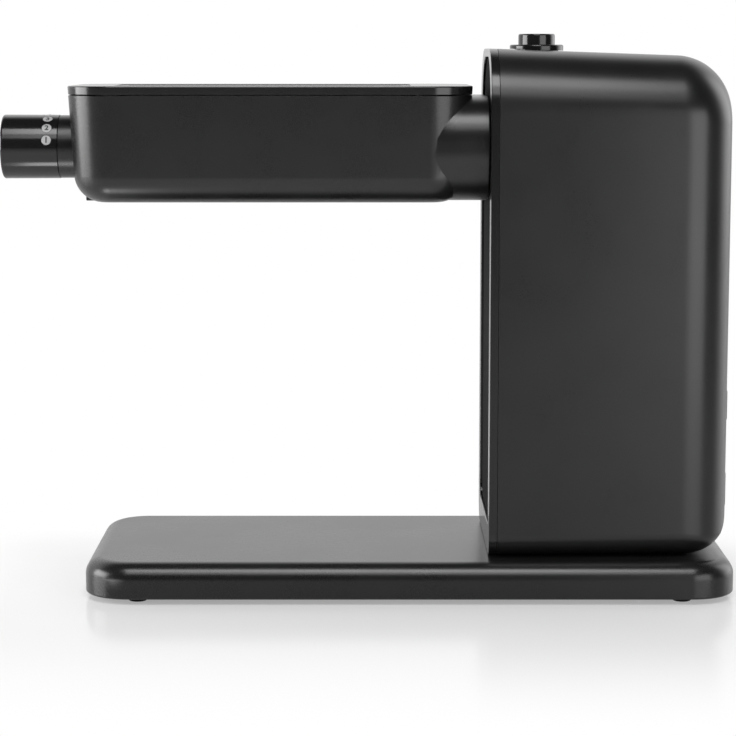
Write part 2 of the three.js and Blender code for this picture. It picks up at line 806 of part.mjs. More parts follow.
function makeBoard() {
  const x = [boardFromFace, boardFromFace + boardLength];
  const y = [-boardWidth / 2, boardWidth / 2];
  const top = boardLevel + boardThickness;
  const board = block(x, y, [boardLevel, top]);
  const middle = (x[0] + x[1]) / 2;
  const choke = block([middle - coilBlock / 2, middle + coilBlock / 2], [y[0] + coilBlock / 3, coilBlock / 4],
    [top - overlap, top + coilBlock]);
  const capacitor = rodZ(capacitorRadius, [top - overlap, top + capacitorHeight],
    middle, y[1] - capacitorRadius * 2, smallFacets);
  piece('control_board', join(board, choke, capacitor), boardGreen);
}

// Release button, its bezel and the springs under it

const seatAt = (x) => towerTop - x * towerSlope + seatGap;
const bezelLow = seatAt(buttonPlace + bezelRadius);
const bezelTop = towerTop - buttonPlace * towerSlope + bezelRise;
const bezelBottom = bezelTop - bezelRise - bezelDepth;
const buttonTop = bezelTop + buttonRise;
const buttonUnder = buttonTop - buttonCap;
const wedgeTop = axisHeight + retainerTopRise + retainerWire + seatGap + wedgeLength;

function makeButton() {
  const well = buttonRadius + runGap;
  const bezel = turnedZ([
    [0, bezelBottom], [bezelNeckRadius, bezelBottom], [bezelNeckRadius, bezelLow],
    [bezelRadius, bezelLow], [bezelRadius, bezelTop - buttonEdge],
    [bezelRadius - buttonEdge, bezelTop], [0, bezelTop],
  ], buttonPlace, 0);
  const reach = bezelRadius + overrun;
  const ends = [buttonPlace - reach, buttonPlace + reach];
  const roof = extrudedY([
    [ends[0], bezelLow - overrun], [ends[1], bezelLow - overrun],
    [ends[1], seatAt(ends[1])], [ends[0], seatAt(ends[0])],
  ], [-reach, reach]);
  const neckSpan = [bezelLow - overrun * 2, seatAt(ends[0]) + overrun];
  const underCut = roof.subtract(rodZ(bezelNeckRadius, neckSpan, buttonPlace, 0));
  const bore = [bezelBottom + bezelFloor, bezelTop + overrun];
  const stemBore = [bezelBottom - overrun, bezelTop];
  piece('button_bezel', cut(bezel, underCut,
    rodZ(well, bore, buttonPlace, 0),
    rodZ(buttonStemRadius + runGap, stemBore, buttonPlace, 0, smallFacets)), glossBlack);

  const cap = turnedZ([
    [0, buttonUnder], [buttonRadius, buttonUnder], [buttonRadius, buttonTop - buttonEdge],
    [buttonRadius - buttonEdge, buttonTop], [0, buttonTop],
  ], buttonPlace, 0);
  const stemSpan = [wedgeTop - overlap, buttonUnder + overlap];
  const stem = rodZ(buttonStemRadius, stemSpan, buttonPlace, 0, smallFacets);
  const wedge = extrudedX([
    [-wedgeHalf, wedgeTop], [-wedgeTipHalf, wedgeTop - wedgeLength],
    [wedgeTipHalf, wedgeTop - wedgeLength], [wedgeHalf, wedgeTop],
  ], [buttonPlace - wedgeDepth / 2, buttonPlace + wedgeDepth / 2]);
  piece('release_button', join(cap, stem, wedge), glossBlack);
}

class Helix extends THREE.Curve {
  constructor(radius, height, turns) {
    super();
    this.radius = radius;
    this.height = height;
    this.turns = turns;
  }

  getPoint(share, target = new THREE.Vector3()) {
    const angle = share * this.turns * 2 * Math.PI;
    return target.set(this.radius * Math.cos(angle), this.radius * Math.sin(angle), this.height * share);
  }
}

function circleShape(radius, facets) {
  const points = [];
  for (let step = 0; step < facets; step += 1) {
    const angle = step / facets * 2 * Math.PI;
    points.push(new THREE.Vector2(radius * Math.cos(angle), radius * Math.sin(angle)));
  }
  return new THREE.Shape(points);
}

function makeButtonSpring() {
  const low = bezelBottom + bezelFloor + seatGap + buttonSpringWire;
  const high = buttonUnder - seatGap - buttonSpringWire;
  const helix = new Helix(buttonSpringRadius, high - low, buttonSpringTurns);
  const geometry = new THREE.ExtrudeGeometry(circleShape(buttonSpringWire, wireFacets), {
    extrudePath: helix, steps: buttonSpringTurns * turnSteps, bevelEnabled: false,
  });
  geometry.translate(buttonPlace, 0, low);
  piece('button_spring', toSolid(geometry), steel);
}

// Hairpin of round wire: two legs in the spigot's groove, and tips that the button's wedge parts
function makeRetainer() {
  const legTop = axisHeight + retainerShoulder;
  const low = axisHeight - socketBore - socketWall - retainerWire * 2;
  const tip = axisHeight + retainerTopRise;
  const side = (sign) => [
    [sign * retainerReach, low + retainerReach / 3],
    [sign * retainerReach, legTop],
    [sign * retainerTipHalf, tip - retainerTip],
    [sign * retainerTipHalf, tip],
  ];
  const route = [...side(-1).reverse(), [-retainerReach / 2, low], [retainerReach / 2, low], ...side(1)];
  const path = new THREE.CurvePath();
  const points = route.map(([y, z]) => new THREE.Vector3(buttonPlace, y, z));
  for (let step = 0; step + 1 < points.length; step += 1) {
    path.add(new THREE.LineCurve3(points[step], points[step + 1]));
  }
  const wires = [];
  for (let step = 0; step + 1 < points.length; step += 1) {
    const from = points[step];
    const to = points[step + 1];
    const length = from.distanceTo(to);
    const geometry = new THREE.CylinderGeometry(retainerWire, retainerWire, length, ringFacets);
    const turn = new THREE.Quaternion().setFromUnitVectors(
      new THREE.Vector3(0, 1, 0), to.clone().sub(from).normalize());
    geometry.applyQuaternion(turn);
    const middle = from.clone().add(to).multiplyScalar(1 / 2);
    geometry.translate(middle.x, middle.y, middle.z);
    wires.push(toSolid(geometry));
    const ball = new THREE.SphereGeometry(retainerWire, ringFacets, ballBands);
    ball.translate(to.x, to.y, to.z);
    wires.push(toSolid(ball));
  }
  piece('retaining_spring', join(...wires), steel);
}

// Power switch and inlet

function makeSwitch() {
  const face = towerWidth;
  const y = [-switchFrameWidth / 2, switchFrameWidth / 2];
  const z = [switchHeight - switchFrameHeight / 2, switchHeight + switchFrameHeight / 2];
  const corner = switchWall;
  const frameSpan = [face + seatGap, face + seatGap + switchFrameThickness];
  const frame = extrudedX(roundedOutline(y, z, [corner, corner, corner, corner]), frameSpan);
  const bodyY = [y[0] + switchWall, y[1] - switchWall];
  const bodyZ = [z[0] + switchWall, z[1] - switchWall];
  const body = block([face - switchBodyDepth, frameSpan[0] + overlap], bodyY, bodyZ);
  const wellY = [-rockerWidth / 2 - runGap, rockerWidth / 2 + runGap];
  const wellZ = [switchHeight - rockerHeight / 2 - runGap, switchHeight + rockerHeight / 2 + runGap];
  const well = block([face - rockerDepth - rockerLowReach - overrun, frameSpan[1] + overrun], wellY, wellZ);
  piece('switch_body', cut(frame.add(body), well), mattBlack);
}

function makeRocker() {
  const high = rockerHeight / 2;
  const pivotX = towerWidth - rockerPivotDepth;
  const outline = [
    [towerWidth - rockerDepth, switchHeight],
    [pivotX, switchHeight - high + rockerLowReach],
    [towerWidth + rockerLowReach, switchHeight - high + runGap],
    [towerWidth + rockerLowReach + seatGap, switchHeight],
    [towerWidth + rockerReach, switchHeight + high - rockerTipDrop],
    [pivotX + rockerLowReach, switchHeight + high - rockerTipDrop],
  ];
  piece('power_rocker', extrudedY(outline, [-rockerWidth / 2, rockerWidth / 2]), glossBlack);
}

function makeInlet() {
  const face = towerWidth;
  const y = [-inletHalfWidth, inletHalfWidth];
  const z = [inletHeight - inletHalfHeight, inletHeight + inletHalfHeight];
  const body = block([face - inletBody, face + seatGap + overlap], y, z);
  const grow = inletFlange;
  const flangeOutline = roundedOutline([y[0] - grow, y[1] + grow], [z[0] - grow, z[1] + grow],
    [grow, grow, grow, grow]);
  const flange = extrudedX(flangeOutline, [face + seatGap, face + seatGap + inletFlange]);
  const recess = block([face - inletRecess, face + inletFlange + overrun],
    [y[0] + inletWall, y[1] - inletWall], [z[0] + inletWall, z[1] - inletWall]);
  const pinSpan = [face - inletRecess - overlap, face - inletWall];
  const pins = [-1, 1].map((side) => (
    rodX(pinRadius, pinSpan, side * pinSpread, inletHeight, smallFacets)
  ));
  piece('power_inlet', join(cut(body.add(flange), recess), ...pins), mattBlack);
}

// Roller head

// The head's outline at a height, drawn in by its draft and an inset
function headSection(z, inset) {
  const fall = (headTop - z) * Math.tan(headDraft) + inset;
  const radius = Math.max(headCornerRadius - fall, overlap);
  const u = [rimLeft + fall, rimRight - fall];
  const v = [fall - headHalfDepth, headHalfDepth - fall];
  return { outline: roundedOutline(u, v, [radius, radius, radius, radius]), at: z };
}

function headShape(inset, z, fillet) {
  const rings = edgeSteps(fillet).map(({ along, fall }) => headSection(z[0] + along, inset + fall));
  rings.push(headSection(z[1], inset));
  return lofted(rings, alongZ);
}

function neckShape(inset, x, endFillet) {
  const ring = (at, fall, narrowing) => {
    const y = neckHalfDepth - inset - fall - narrowing;
    const z = neckHalfHeight - inset - fall;
    const high = neckUpperRadius - inset - fall;
    const low = neckLowerRadius - inset - fall;
    const span = [axisHeight - z, axisHeight + z];
    return { outline: roundedOutline([-y, y], span, [high, high, low, low]), at };
  };
  const rings = [ring(x[0], 0, neckRootNarrowing), ring(-neckInHead / 2, 0, 0)];
  edgeSteps(endFillet, 2).reverse().forEach(({ along, fall }) => rings.push(ring(x[1] - along, fall, 0)));
  return lofted(rings, alongX);
}

function makeHeadBody() {
  const shell = headShape(0, [headBottom, bodyTop], headLowerFillet);
  const room = headShape(headWall, [headBottom + headWall, bodyTop + overrun], headLowerFillet - headWall);
  const neck = neckShape(0, [-neckInHead, -seatGap], neckEndFillet);
  const neckRoom = neckShape(headWall, [-neckInHead - overrun, neckWallPlace], overlap);
  let body = cut(shell.add(neck), room, neckRoom);
  const outlet = block([workLeft, workRight], [-outletHalfDepth, outletHalfDepth],
    [headBottom - overrun * 2, headBottom + headWall + overrun]);
  const spigotHole = rodX(spigotRadius + seatGap, [neckWallPlace - overrun, overrun], 0, axisHeight);
  const knobHole = rodX(knobShaftRadius + runGap, [rimLeft - overrun, rimLeft + headWall * 3], 0, axisHeight);
  body = cut(body, outlet, spigotHole, knobHole);
  const guardLeft = rimLeft + headLowerFillet / 2;
  const guard = block([guardLeft, guardLeft + fingerGuardWidth],
    [-outletHalfDepth, outletHalfDepth], [headBottom - fingerGuardDrop, headBottom + headWall * 2]);
  piece('head_body', body.add(guard.subtract(room)), satinBlack);
}

function makeHeadRim() {
  const rings = [rimBottom, headTop - rimEdge].map((z) => headSection(z, 0));
  rings.push(headSection(headTop, rimEdge / 2));
  const mouth = (grow, z) => block([workLeft - grow, workRight + grow],
    [-mouthHalfDepth - grow, mouthHalfDepth + grow], z);
  const room = [rimBottom - overrun, headTop - rimTopThickness];
  const recess = cut(lofted(room.map((z) => headSection(z, headWall)), alongZ), mouth(mouthLedge, room));
  const rim = cut(lofted(rings, alongZ), recess,
    mouth(0, [rimBottom + mouthLedgeThickness, headTop + overrun]),
    mouth(-mouthLedge, [rimBottom - overrun, headTop]));
  piece('head_rim', rim, glossBlack);
}

// Tray in the rim's mouth with two slopes that lead the sheet between the rollers
function makeHopperGuide() {
  const low = rimBottom + mouthLedgeThickness + seatGap;
  const high = headTop - seatGap;
  const skirt = rimBottom - seatGap;
  const y = mouthHalfDepth - seatGap;
  const x = [workLeft + seatGap, workRight - seatGap];
  const outer = block(x, [-y, y], [low, high]);
  const skirtBlock = block([x[0] + mouthLedge, x[1] - mouthLedge], [mouthLedge - y, y - mouthLedge],
    [skirt, low + overlap]);
  const throat = [
    [-guideThroat, skirt - overrun], [guideThroat, skirt - overrun],
    [y - guideWall, high + overlap], [guideWall - y, high + overlap],
  ];
  const hole = extrudedX(throat, [x[0] + mouthLedge + guideWall, x[1] - mouthLedge - guideWall]);
  piece('hopper_guide', cut(outer.add(skirtBlock), hole), satinBlack);
}

// End frames that carry the fixed rollers

function frameBlank(x) {
  const room = headShape(headWall + seatGap, [headBottom + headWall + seatGap, bodyTop],
    headLowerFillet - headWall);
  return block(x, [-headHalfDepth, headHalfDepth], [headBottom, bodyTop]).intersect(room);
}

const fixedAxes = [pressFront, cutterFront, cutterRear];

function makeFrames() {
  const bore = (x, place, radius) => (
    rodX(radius, [x[0] - overrun, x[1] + overrun], place[0], place[1], smallFacets)
  );
  const rearWindow = (x) => block([x[0] - overrun, x[1] + overrun],
    [pressHalfSpread - rollerShaftRadius - runGap, pressRear[0] + rollerShaftRadius + runGap],
    [pressHeight - rollerShaftRadius - runGap, pressHeight + rollerShaftRadius + runGap]);
  let right = frameBlank(rightFrame);
  let left = frameBlank(leftFrame);
  fixedAxes.forEach((place) => {
    right = right.subtract(bore(rightFrame, place, rollerShaftRadius + runGap));
    left = left.subtract(bore(leftFrame, place, rollerShaftRadius + runGap));
  });
  right = cut(right, bore(rightFrame, axisPlace, inputShaftRadius + runGap), rearWindow(rightFrame));
  const bridge = [bridgePlace[0] - gapTravel - runGap, bridgePlace[1] + runGap];
  const window = block([leftFrame[0] - overrun, leftFrame[1] + overrun], bridge,
    [hookLevel[0] - runGap, hookLevel[1] + runGap]);
  left = left.subtract(window);
  piece('roller_frame_right', right, zinc);
  piece('roller_frame_left', left, zinc);
}

function pressRoller(name, place, shaftLeft, gearSpan) {
  const shaft = [shaftLeft, gearSpan[1]];
  const solid = join(
    rodX(pressRadius, [workLeft, workRight], place[0], place[1]),
    rodX(rollerShaftRadius, shaft, place[0], place[1], smallFacets),
  );
  piece(name, solid, steel);
}

// One of the two meshing cutter rollers: its rings stand in the other one's grooves
function cutterRoller(name, place, gearSpan, offsetShare) {
  const pitch = workingLength / cutterRings;
  const ringWidth = pitch / 2 - seatGap;
  const profile = [[0, workLeft], [cutterCoreRadius, workLeft]];
  for (let ring = 0; ring < cutterRings; ring += 1) {
    const middle = workLeft + (ring + offsetShare) * pitch;
    const from = middle - ringWidth / 2;
    const to = middle + ringWidth / 2;
    profile.push([cutterCoreRadius, from], [cutterRadius, from], [cutterRadius, to], [cutterCoreRadius, to]);
  }
  profile.push([cutterCoreRadius, workRight], [0, workRight]);
  const shaft = [leftFrame[0] + seatGap, gearSpan[1]];
  const solid = join(
    turnedX(profile, place[0], place[1], ringFacets),
    rodX(rollerShaftRadius, shaft, place[0], place[1], smallFacets),
  );
  piece(name, solid, steel);
}

const wideGear = [gearPlaneA[0], gearPlaneB[1]];

function makeRollers() {
  pressRoller('press_roller_front', pressFront, leftFrame[0] + seatGap, wideGear);
  pressRoller('press_roller_rear', pressRear, leftCarrier[0] + overlap + runGap, gearPlaneB);
  cutterRoller('cutter_roller_front', cutterFront, wideGear, 1 / 4);
  cutterRoller('cutter_roller_rear', cutterRear, gearPlaneB, 3 / 4);
}

function makeHeadGears() {
  const bore = rollerShaftRadius + seatGap;
  gear('press_gear_front', pressTeeth, pressFront, pressFrontPhase, wideGear, bore, nylon, longShares);
  gear('press_gear_rear', pressTeeth, pressRear, pressRearPhase, gearPlaneB, bore, nylon, longShares);
  gear('cutter_gear_front', cutterTeeth, cutterFront, cutterFrontPhase, wideGear, bore, nylon);
  gear('cutter_gear_rear', cutterTeeth, cutterRear, cutterRearPhase, gearPlaneB, bore, nylon);
  gear('input_pinion', inputTeeth, axisPlace, inputPhase, gearPlaneA, inputShaftRadius + seatGap, brass);
}

// Taller teeth for the pair whose distance the knob changes
const longShares = { top: 1.1, root: 1.35, tipHalf: 0.18, rootHalf: 0.9 };

function makeInput() {
  const sleeveRadius = hexRadius + runGap + sleeveWall;
  const solid = join(
    rodX(inputShaftRadius, [rightFrame[0], gearPlaneB[1] + overrun], 0, axisHeight, smallFacets),
    rodX(sleeveRadius, [gearPlaneB[1] + seatGap, sleeveReach], 0, axisHeight),
  );
  const hexSpan = [panelBack - runGap * 2, sleeveReach + overrun];
  const socket = rodX(hexRadius + runGap, hexSpan, 0, axisHeight, hexFacets);
  piece('input_shaft', solid.subtract(socket), steel);
}

function makeSpigot() {
  const flange = [neckWallPlace - seatGap - spigotFlange, neckWallPlace - seatGap];
  const solid = join(
    rodX(spigotRadius, [flange[0], spigotLength], 0, axisHeight),
    rodX(spigotFlangeRadius, flange, 0, axisHeight),
  );
  const bore = rodX(spigotRadius - spigotWall - grooveDepth, [flange[0] - overrun, spigotLength + overrun],
    0, axisHeight);
  const groove = [buttonPlace - grooveWidth / 2, buttonPlace + grooveWidth / 2];
  const ring = cut(rodX(spigotRadius + overrun, groove, 0, axisHeight),
    rodX(spigotRadius - grooveDepth, [groove[0] - overrun, groove[1] + overrun], 0, axisHeight));
  piece('head_spigot', cut(solid, bore, ring), darkNylon);
}

// Thickness adjustment: knob, collar, cam and the carrier of the rear press roller

const headLeftAtAxis = rimLeft + (headTop - axisHeight) * Math.tan(headDraft);
const collarRight = headLeftAtAxis - seatGap;
const collarLeft = collarRight - collarLength;
const knobRight = collarLeft - seatGap;
const knobLeft = knobRight - knobLength;
const camLeft = headLeftAtAxis + headWall + camWallGap;
const camSpan = [camLeft, camLeft + camThickness];
const camRise = gapTravel / knobRange;
const bridgePlace = [pressRear[0] - hookWidth / 2, pressRear[0] + hookWidth / 2];
const hookLevel = [pressHeight - hookThickness / 2, pressHeight + hookThickness / 2];

const carrierFront = pressRear[0] + pressRadius + gapTravel;
const carrierBack = [carrierFront, carrierFront + carrierThickness];

function makeKnob() {
  const knob = turnedX([
    [0, knobLeft], [knobTipRadius - knobEdge, knobLeft], [knobTipRadius, knobLeft + knobEdge],
    [knobRadius, knobRight], [0, knobRight],
  ], 0, axisHeight);
  const shaftBore = [knobRight - knobShaftDepth - seatGap, knobRight + overrun];
  piece('thickness_knob', knob.subtract(
    rodX(knobShaftRadius + seatGap, shaftBore, 0, axisHeight, smallFacets)), glossBlack);
  const collarSpan = [collarLeft, collarRight + headWall];
  const bore = [collarLeft - overrun, collarSpan[1] + overrun];
  const headFace = headShape(-seatGap, [headBottom, bodyTop], headLowerFillet);
  piece('knob_collar', cut(
    rodX(collarRadius, collarSpan, 0, axisHeight),
    rodX(knobShaftRadius + runGap, bore, 0, axisHeight),
    headFace), satinBlack);
}

// The cam's radius grows steadily over the knob's range and a spare angle at each end of it
function camRadius(angle) {
  const range = knobRange + camSpare * 2;
  const turned = THREE.MathUtils.euclideanModulo(angle + camSpare, Math.PI * 2);
  if (turned <= range) return camBaseRadius + camRise * (turned - camSpare);
  const back = (turned - range) / (Math.PI * 2 - range);
  return camBaseRadius + camRise * (knobRange + camSpare - back * range);
}

function makeCam() {
  const steps = roundFacets * 2;
  const outline = [];
  for (let step = 0; step < steps; step += 1) {
    const angle = step / steps * Math.PI * 2;
    const radius = camRadius(Math.PI - angle);
    outline.push([radius * Math.cos(angle), axisHeight + radius * Math.sin(angle)]);
  }
  const cam = join(
    extrudedX(outline, camSpan),
    rodX(knobShaftRadius, [knobRight - knobShaftDepth, camSpan[1]], 0, axisHeight, smallFacets),
  );
  piece('knob_cam', cam, darkNylon);
}

function makeCarrier() {
  const plate = (x) => block(x, [bridgePlace[0], carrierBack[1]],
    [pressHeight - hookWidth / 2, pressHeight + hookWidth / 2]);
  const bore = (x) => rodX(rollerShaftRadius + runGap, [x[0] - overrun, x[1] + overrun],
    pressRear[0], pressRear[1], smallFacets);
  const bar = block([leftCarrier[0], rightCarrier[1]], carrierBack, hookLevel);
  const hookSpan = [camSpan[0], leftFrame[0] - seatGap];
  const tab = [-camBaseRadius - seatGap - hookThickness / 2, -camBaseRadius - seatGap];
  const bridge = block([hookSpan[0], leftCarrier[0] + overlap], bridgePlace, hookLevel);
  const arm = block(hookSpan, [tab[0], bridgePlace[1]], hookLevel);
  const finger = block(hookSpan, tab, [axisHeight - hookThickness / 2, hookLevel[1]]);
  const carrier = cut(join(plate(leftCarrier), plate(rightCarrier), bar),
    bore(leftCarrier), bore(rightCarrier));
  piece('gap_carrier', join(carrier, bridge, arm, finger), zinc);
}


makeBaseCover();
makeFloorPlate();
makeFeet();
makeBaseScrews();
makeTowerScrews();
makeTowerShell();
makeTrimFrame();
makeSidePanel();
makeSocket();
makeGearCase();
makeBushes();
makeDrive();
makeMotor();
makeBoard();
makeButton();
makeButtonSpring();
makeRetainer();
makeSwitch();
makeRocker();
makeInlet();
makeHeadBody();
makeHeadRim();
makeHopperGuide();
makeFrames();
makeRollers();
makeHeadGears();
makeInput();
makeSpigot();
makeKnob();
makeCam();
makeCarrier();

// Centre the whole between the knob's end and the switch's frame
assembly.position.x = -(knobLeft + towerWidth + seatGap + switchFrameThickness) / 2;

export default assembly;
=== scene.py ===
# Looks of the electric pasta maker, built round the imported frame. Sizes are in millimetres
# until a mesh is made, and angles in degrees until they are turned into an arc.
import math

import bmesh
import bpy
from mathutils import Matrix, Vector


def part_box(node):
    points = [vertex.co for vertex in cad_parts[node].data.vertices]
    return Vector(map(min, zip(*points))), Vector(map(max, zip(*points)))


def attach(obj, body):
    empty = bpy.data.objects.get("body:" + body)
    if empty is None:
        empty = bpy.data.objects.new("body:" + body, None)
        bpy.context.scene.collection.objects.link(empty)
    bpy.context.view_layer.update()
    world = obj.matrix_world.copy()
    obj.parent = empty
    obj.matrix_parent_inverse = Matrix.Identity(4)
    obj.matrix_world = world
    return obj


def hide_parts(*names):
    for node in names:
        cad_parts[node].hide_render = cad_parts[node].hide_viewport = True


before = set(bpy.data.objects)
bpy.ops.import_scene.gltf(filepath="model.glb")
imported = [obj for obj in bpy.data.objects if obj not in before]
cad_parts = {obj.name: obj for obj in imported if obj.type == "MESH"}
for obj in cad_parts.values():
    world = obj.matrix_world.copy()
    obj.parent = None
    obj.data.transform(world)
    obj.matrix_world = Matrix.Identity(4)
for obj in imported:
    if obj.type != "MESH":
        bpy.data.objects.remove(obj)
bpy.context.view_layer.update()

scene = bpy.context.scene
MM = 0.001
QUARTER = math.pi / 2
AXES = "xyz"


def low(node):
    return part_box(node)[0] / MM


def high(node):
    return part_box(node)[1] / MM


def middle(node):
    """The place of a CAD node's centre across X and Y."""
    return ((low(node).x + high(node).x) / 2, (low(node).y + high(node).y) / 2)


def grown(spans, by):
    """Spans that reach further at both ends."""
    return [(span[0] - by, span[1] + by) for span in spans]


# Sizes shared with the CAD source

FACE = low("tower_trim_frame").x
SEAT = 0.3  # clearance between pieces that meet
PAST = 1.0  # how far a cut runs past what it cuts
BITE = 0.5  # how far joined shapes reach into each other
AXIS = 211.0  # height of the head's and the knob's axis
SHAFT_HOLE = 4.35
SPIGOT_HOLE = 15.2

BASE_WIDTH = 125.0
BASE_CORNER = 22.0
BASE_FILLET = 8.0
BASE_LOWER_EDGE = 1.0
BASE_WALL = 2.6
FOOT_STUD = 2.2

SCREW_RADIUS = 1.6
SCREW_HEAD_RADIUS = 3.0
SCREW_HEAD_HEIGHT = 1.8
SCREW_SLOT = 0.9
SHANK_START = 0.9  # share of the head's height at which the shank starts
BOSS_RADIUS = 4.2
BOSS_HEIGHT = 13.0
POST_RADIUS = 3.0

TOWER_WIDTH = 114.3
TOWER_TOP = 257.7
TOWER_FLOOR = low("tower_shell").z
TOWER_HALF_DEPTH = 51.5
TOWER_DRAFT = math.tan(math.radians(2))
TOWER_SLOPE = math.tan(math.radians(2.05))
TOWER_WALL = 2.6
TOWER_TOP_RADIUS = 29.0
TOWER_LOWER_RADIUS = 12.0
REAR_TOP_RADIUS = 25.5
REAR_SIDE_RADIUS = 23.0
REAR_LOWER_RADIUS = 20.0
REAR_CUT = 9.0
TRIM = high("tower_trim_frame").x - FACE
TRIM_SIDE = 11.5
TRIM_ABOVE = 4.0
TRIM_BELOW = 13.5
PANEL_CORNER = 27.0
PANEL_RECESS = 1.2
PANEL_THICKNESS = 2.4
PANEL_FLANGE = 4.0
# The button's place, halved in metres: the push cap's join depends on its last digit
BUTTON_PLACE = (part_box("button_bezel")[0].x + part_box("button_bezel")[1].x) / 2 / MM
BEZEL_RADIUS = 12.8
BEZEL_NECK = 10.4
BEZEL_DEPTH = 13.0
SWITCH_CASE = ((-4.8, 4.8), (79.3, 92.7))
INLET_CASE = ((-11.0, 11.0), (39.0, 53.0))

HEAD_RIGHT = high("head_rim").x
HEAD_LEFT = HEAD_RIGHT - 190.0
HEAD_TOP = 240.4
HEAD_BOTTOM = 186.0
HEAD_HALF_DEPTH = 46.0
HEAD_CORNER = 21.0
HEAD_DRAFT = math.tan(math.radians(3.5))
HEAD_FILLET = 12.5
HEAD_WALL = 2.5
RIM_BOTTOM = HEAD_TOP - 4.1
RIM_PLATE = 1.6
BODY_TOP = RIM_BOTTOM - SEAT
NECK_HALF_DEPTH = 45.5
NECK_HALF_HEIGHT = 24.4
NECK_UPPER_RADIUS = 20.5
NECK_LOWER_RADIUS = 24.0
NECK_ROOT = -26.0
WORK = (FACE - 176.55, FACE - 36.55)  # the rollers' working length
OUTLET = (-12.0, 12.0)
MOUTH = 20.0
LEDGE = 2.0
LEDGE_RISE = 1.3

ROLLER_SHAFT = 3.6
CUTTER_RINGS = 32
CUTTER_PITCH = (WORK[1] - WORK[0]) / CUTTER_RINGS
CUTTER_RADIUS = 9.2
CUTTER_CORE = 6.9
KNOB_RADIUS = 15.2
KNOB_TIP_RADIUS = 15.3
KNOB_BORE = 4.3
KNOB_BORE_DEPTH = 12.3
COLLAR_RADIUS = 15.0
DIAL_PLACE = FACE - 209.6
DIAL_FIRST = 13.6
DIAL_STEP = 24.0
DIAL_NUMBERS = 9


# Mesh making

def link(name, data):
    """An object in the scene for some data."""
    made = bpy.data.objects.new(name, data)
    scene.collection.objects.link(made)
    return made


def make(name, points, faces):
    """A piece from points in millimetres, with its faces turned outwards."""
    mesh = bpy.data.meshes.new(name)
    mesh.from_pydata([Vector(point) * MM for point in points], [], faces)
    build = bmesh.new()
    build.from_mesh(mesh)
    bmesh.ops.recalc_face_normals(build, faces=build.faces)
    build.to_mesh(mesh)
    build.free()
    return link(name, mesh)


def rounded(u, v, radii, steps=16):
    """Outline of a rectangle with four corner radii, anticlockwise from its high corner."""
    if not isinstance(radii, (tuple, list)):
        radii = [radii] * 4
    corners = ((u[1], v[1], -1, -1), (u[0], v[1], 1, -1), (u[0], v[0], 1, 1), (u[1], v[0], -1, 1))
    points = []
    for number, ((cu, cv, su, sv), radius) in enumerate(zip(corners, radii)):
        for step in range(steps + 1):
            angle = (number + step / steps) * QUARTER
            points.append((cu + su * radius + radius * math.cos(angle),
                           cv + sv * radius + radius * math.sin(angle)))
    return points


def bend(radius, steps, first=0):
    """Steps round a rounded edge: how far each has come off one face, and is from the other."""
    angles = [step / steps * QUARTER for step in range(first, steps + 1)]
    return [(radius * (1 - math.cos(angle)), radius * (1 - math.sin(angle))) for angle in angles]


def loft(name, rings):
    """A closed skin through rings of equal point counts."""
    count = len(rings[0])
    points = [point for ring in rings for point in ring]
    faces = [list(range(count))[::-1], [len(points) - count + i for i in range(count)]]
    for ring in range(len(rings) - 1):
        at = ring * count
        for i in range(count):
            j = (i + 1) % count
            faces.append([at + i, at + j, at + count + j, at + count + i])
    return make(name, points, faces)


def on_z(outline, z):
    return [(u, v, z) for u, v in outline]


def on_x(outline, x):
    return [(x, u, v) for u, v in outline]


def on_y(outline, y):
    return [(u, y, v) for u, v in outline]


def prism(name, outline, span, axis="x"):
    """A straight piece: its outline lies across an axis, and span is its reach along it."""
    lay = {"x": on_x, "y": on_y, "z": on_z}[axis]
    return loft(name, [lay(outline, place) for place in span])


def box(name, x, y, z):
    return prism(name, [(y[0], z[0]), (y[1], z[0]), (y[1], z[1]), (y[0], z[1])], x)


def soften(path, closed=False):
    """A path of (a, b) or (a, b, radius) points with each radius turned into an arc."""
    arc_steps = 6
    points = []
    count = len(path)
    for i, point in enumerate(path):
        radius = point[2] if len(point) > 2 else 0
        here = Vector(point[:2])
        if radius <= 0 or (not closed and i in (0, count - 1)):
            points.append(tuple(here))
            continue
        before = (Vector(path[i - 1][:2]) - here).normalized()
        after = (Vector(path[(i + 1) % count][:2]) - here).normalized()
        half = math.acos(max(-1, min(1, before.dot(after)))) / 2
        reach = radius / math.tan(half)
        centre = here + (before + after).normalized() * radius / math.sin(half)
        start = here + before * reach - centre
        turn = start.angle_signed(here + after * reach - centre)
        for step in range(arc_steps + 1):
            angle = -turn * step / arc_steps
            points.append((centre.x + start.x * math.cos(angle) - start.y * math.sin(angle),
                           centre.y + start.x * math.sin(angle) + start.y * math.cos(angle)))
    return points


def turned(name, path, centre, axis="x", steps=72, closed=False):
    """A turned piece from a path of (radius, place), closed or from axis to axis."""
    def at(radius, place, angle):
        a, b = radius * math.cos(angle), radius * math.sin(angle)
        if axis == "x":
            return (place, centre[0] + a, centre[1] + b)
        return (centre[0] + a, centre[1] + b, place)

    on_axis = 1e-6
    points, rows = [], []
    for radius, place in soften(path, closed):
        first = len(points)
        if radius < on_axis:
            points.append(at(0, place, 0))
            rows.append([first] * steps)
        else:
            points += [at(radius, place, 2 * math.pi * i / steps) for i in range(steps)]
            rows.append([first + i for i in range(steps)])
    if closed:
        rows.append(rows[0])
    faces = []
    for one, two in zip(rows, rows[1:]):
        for i in range(steps):
            j = (i + 1) % steps
            face = list(dict.fromkeys([one[i], one[j], two[j], two[i]]))
            if len(face) > 2:
                faces.append(face)
    return make(name, points, faces)


def rod(name, radius, span, centre, axis="z", steps=32):
    """A plain round bar."""
    start, end = span
    return turned(name, [(0, start), (radius, start), (radius, end), (0, end)], centre, axis, steps)


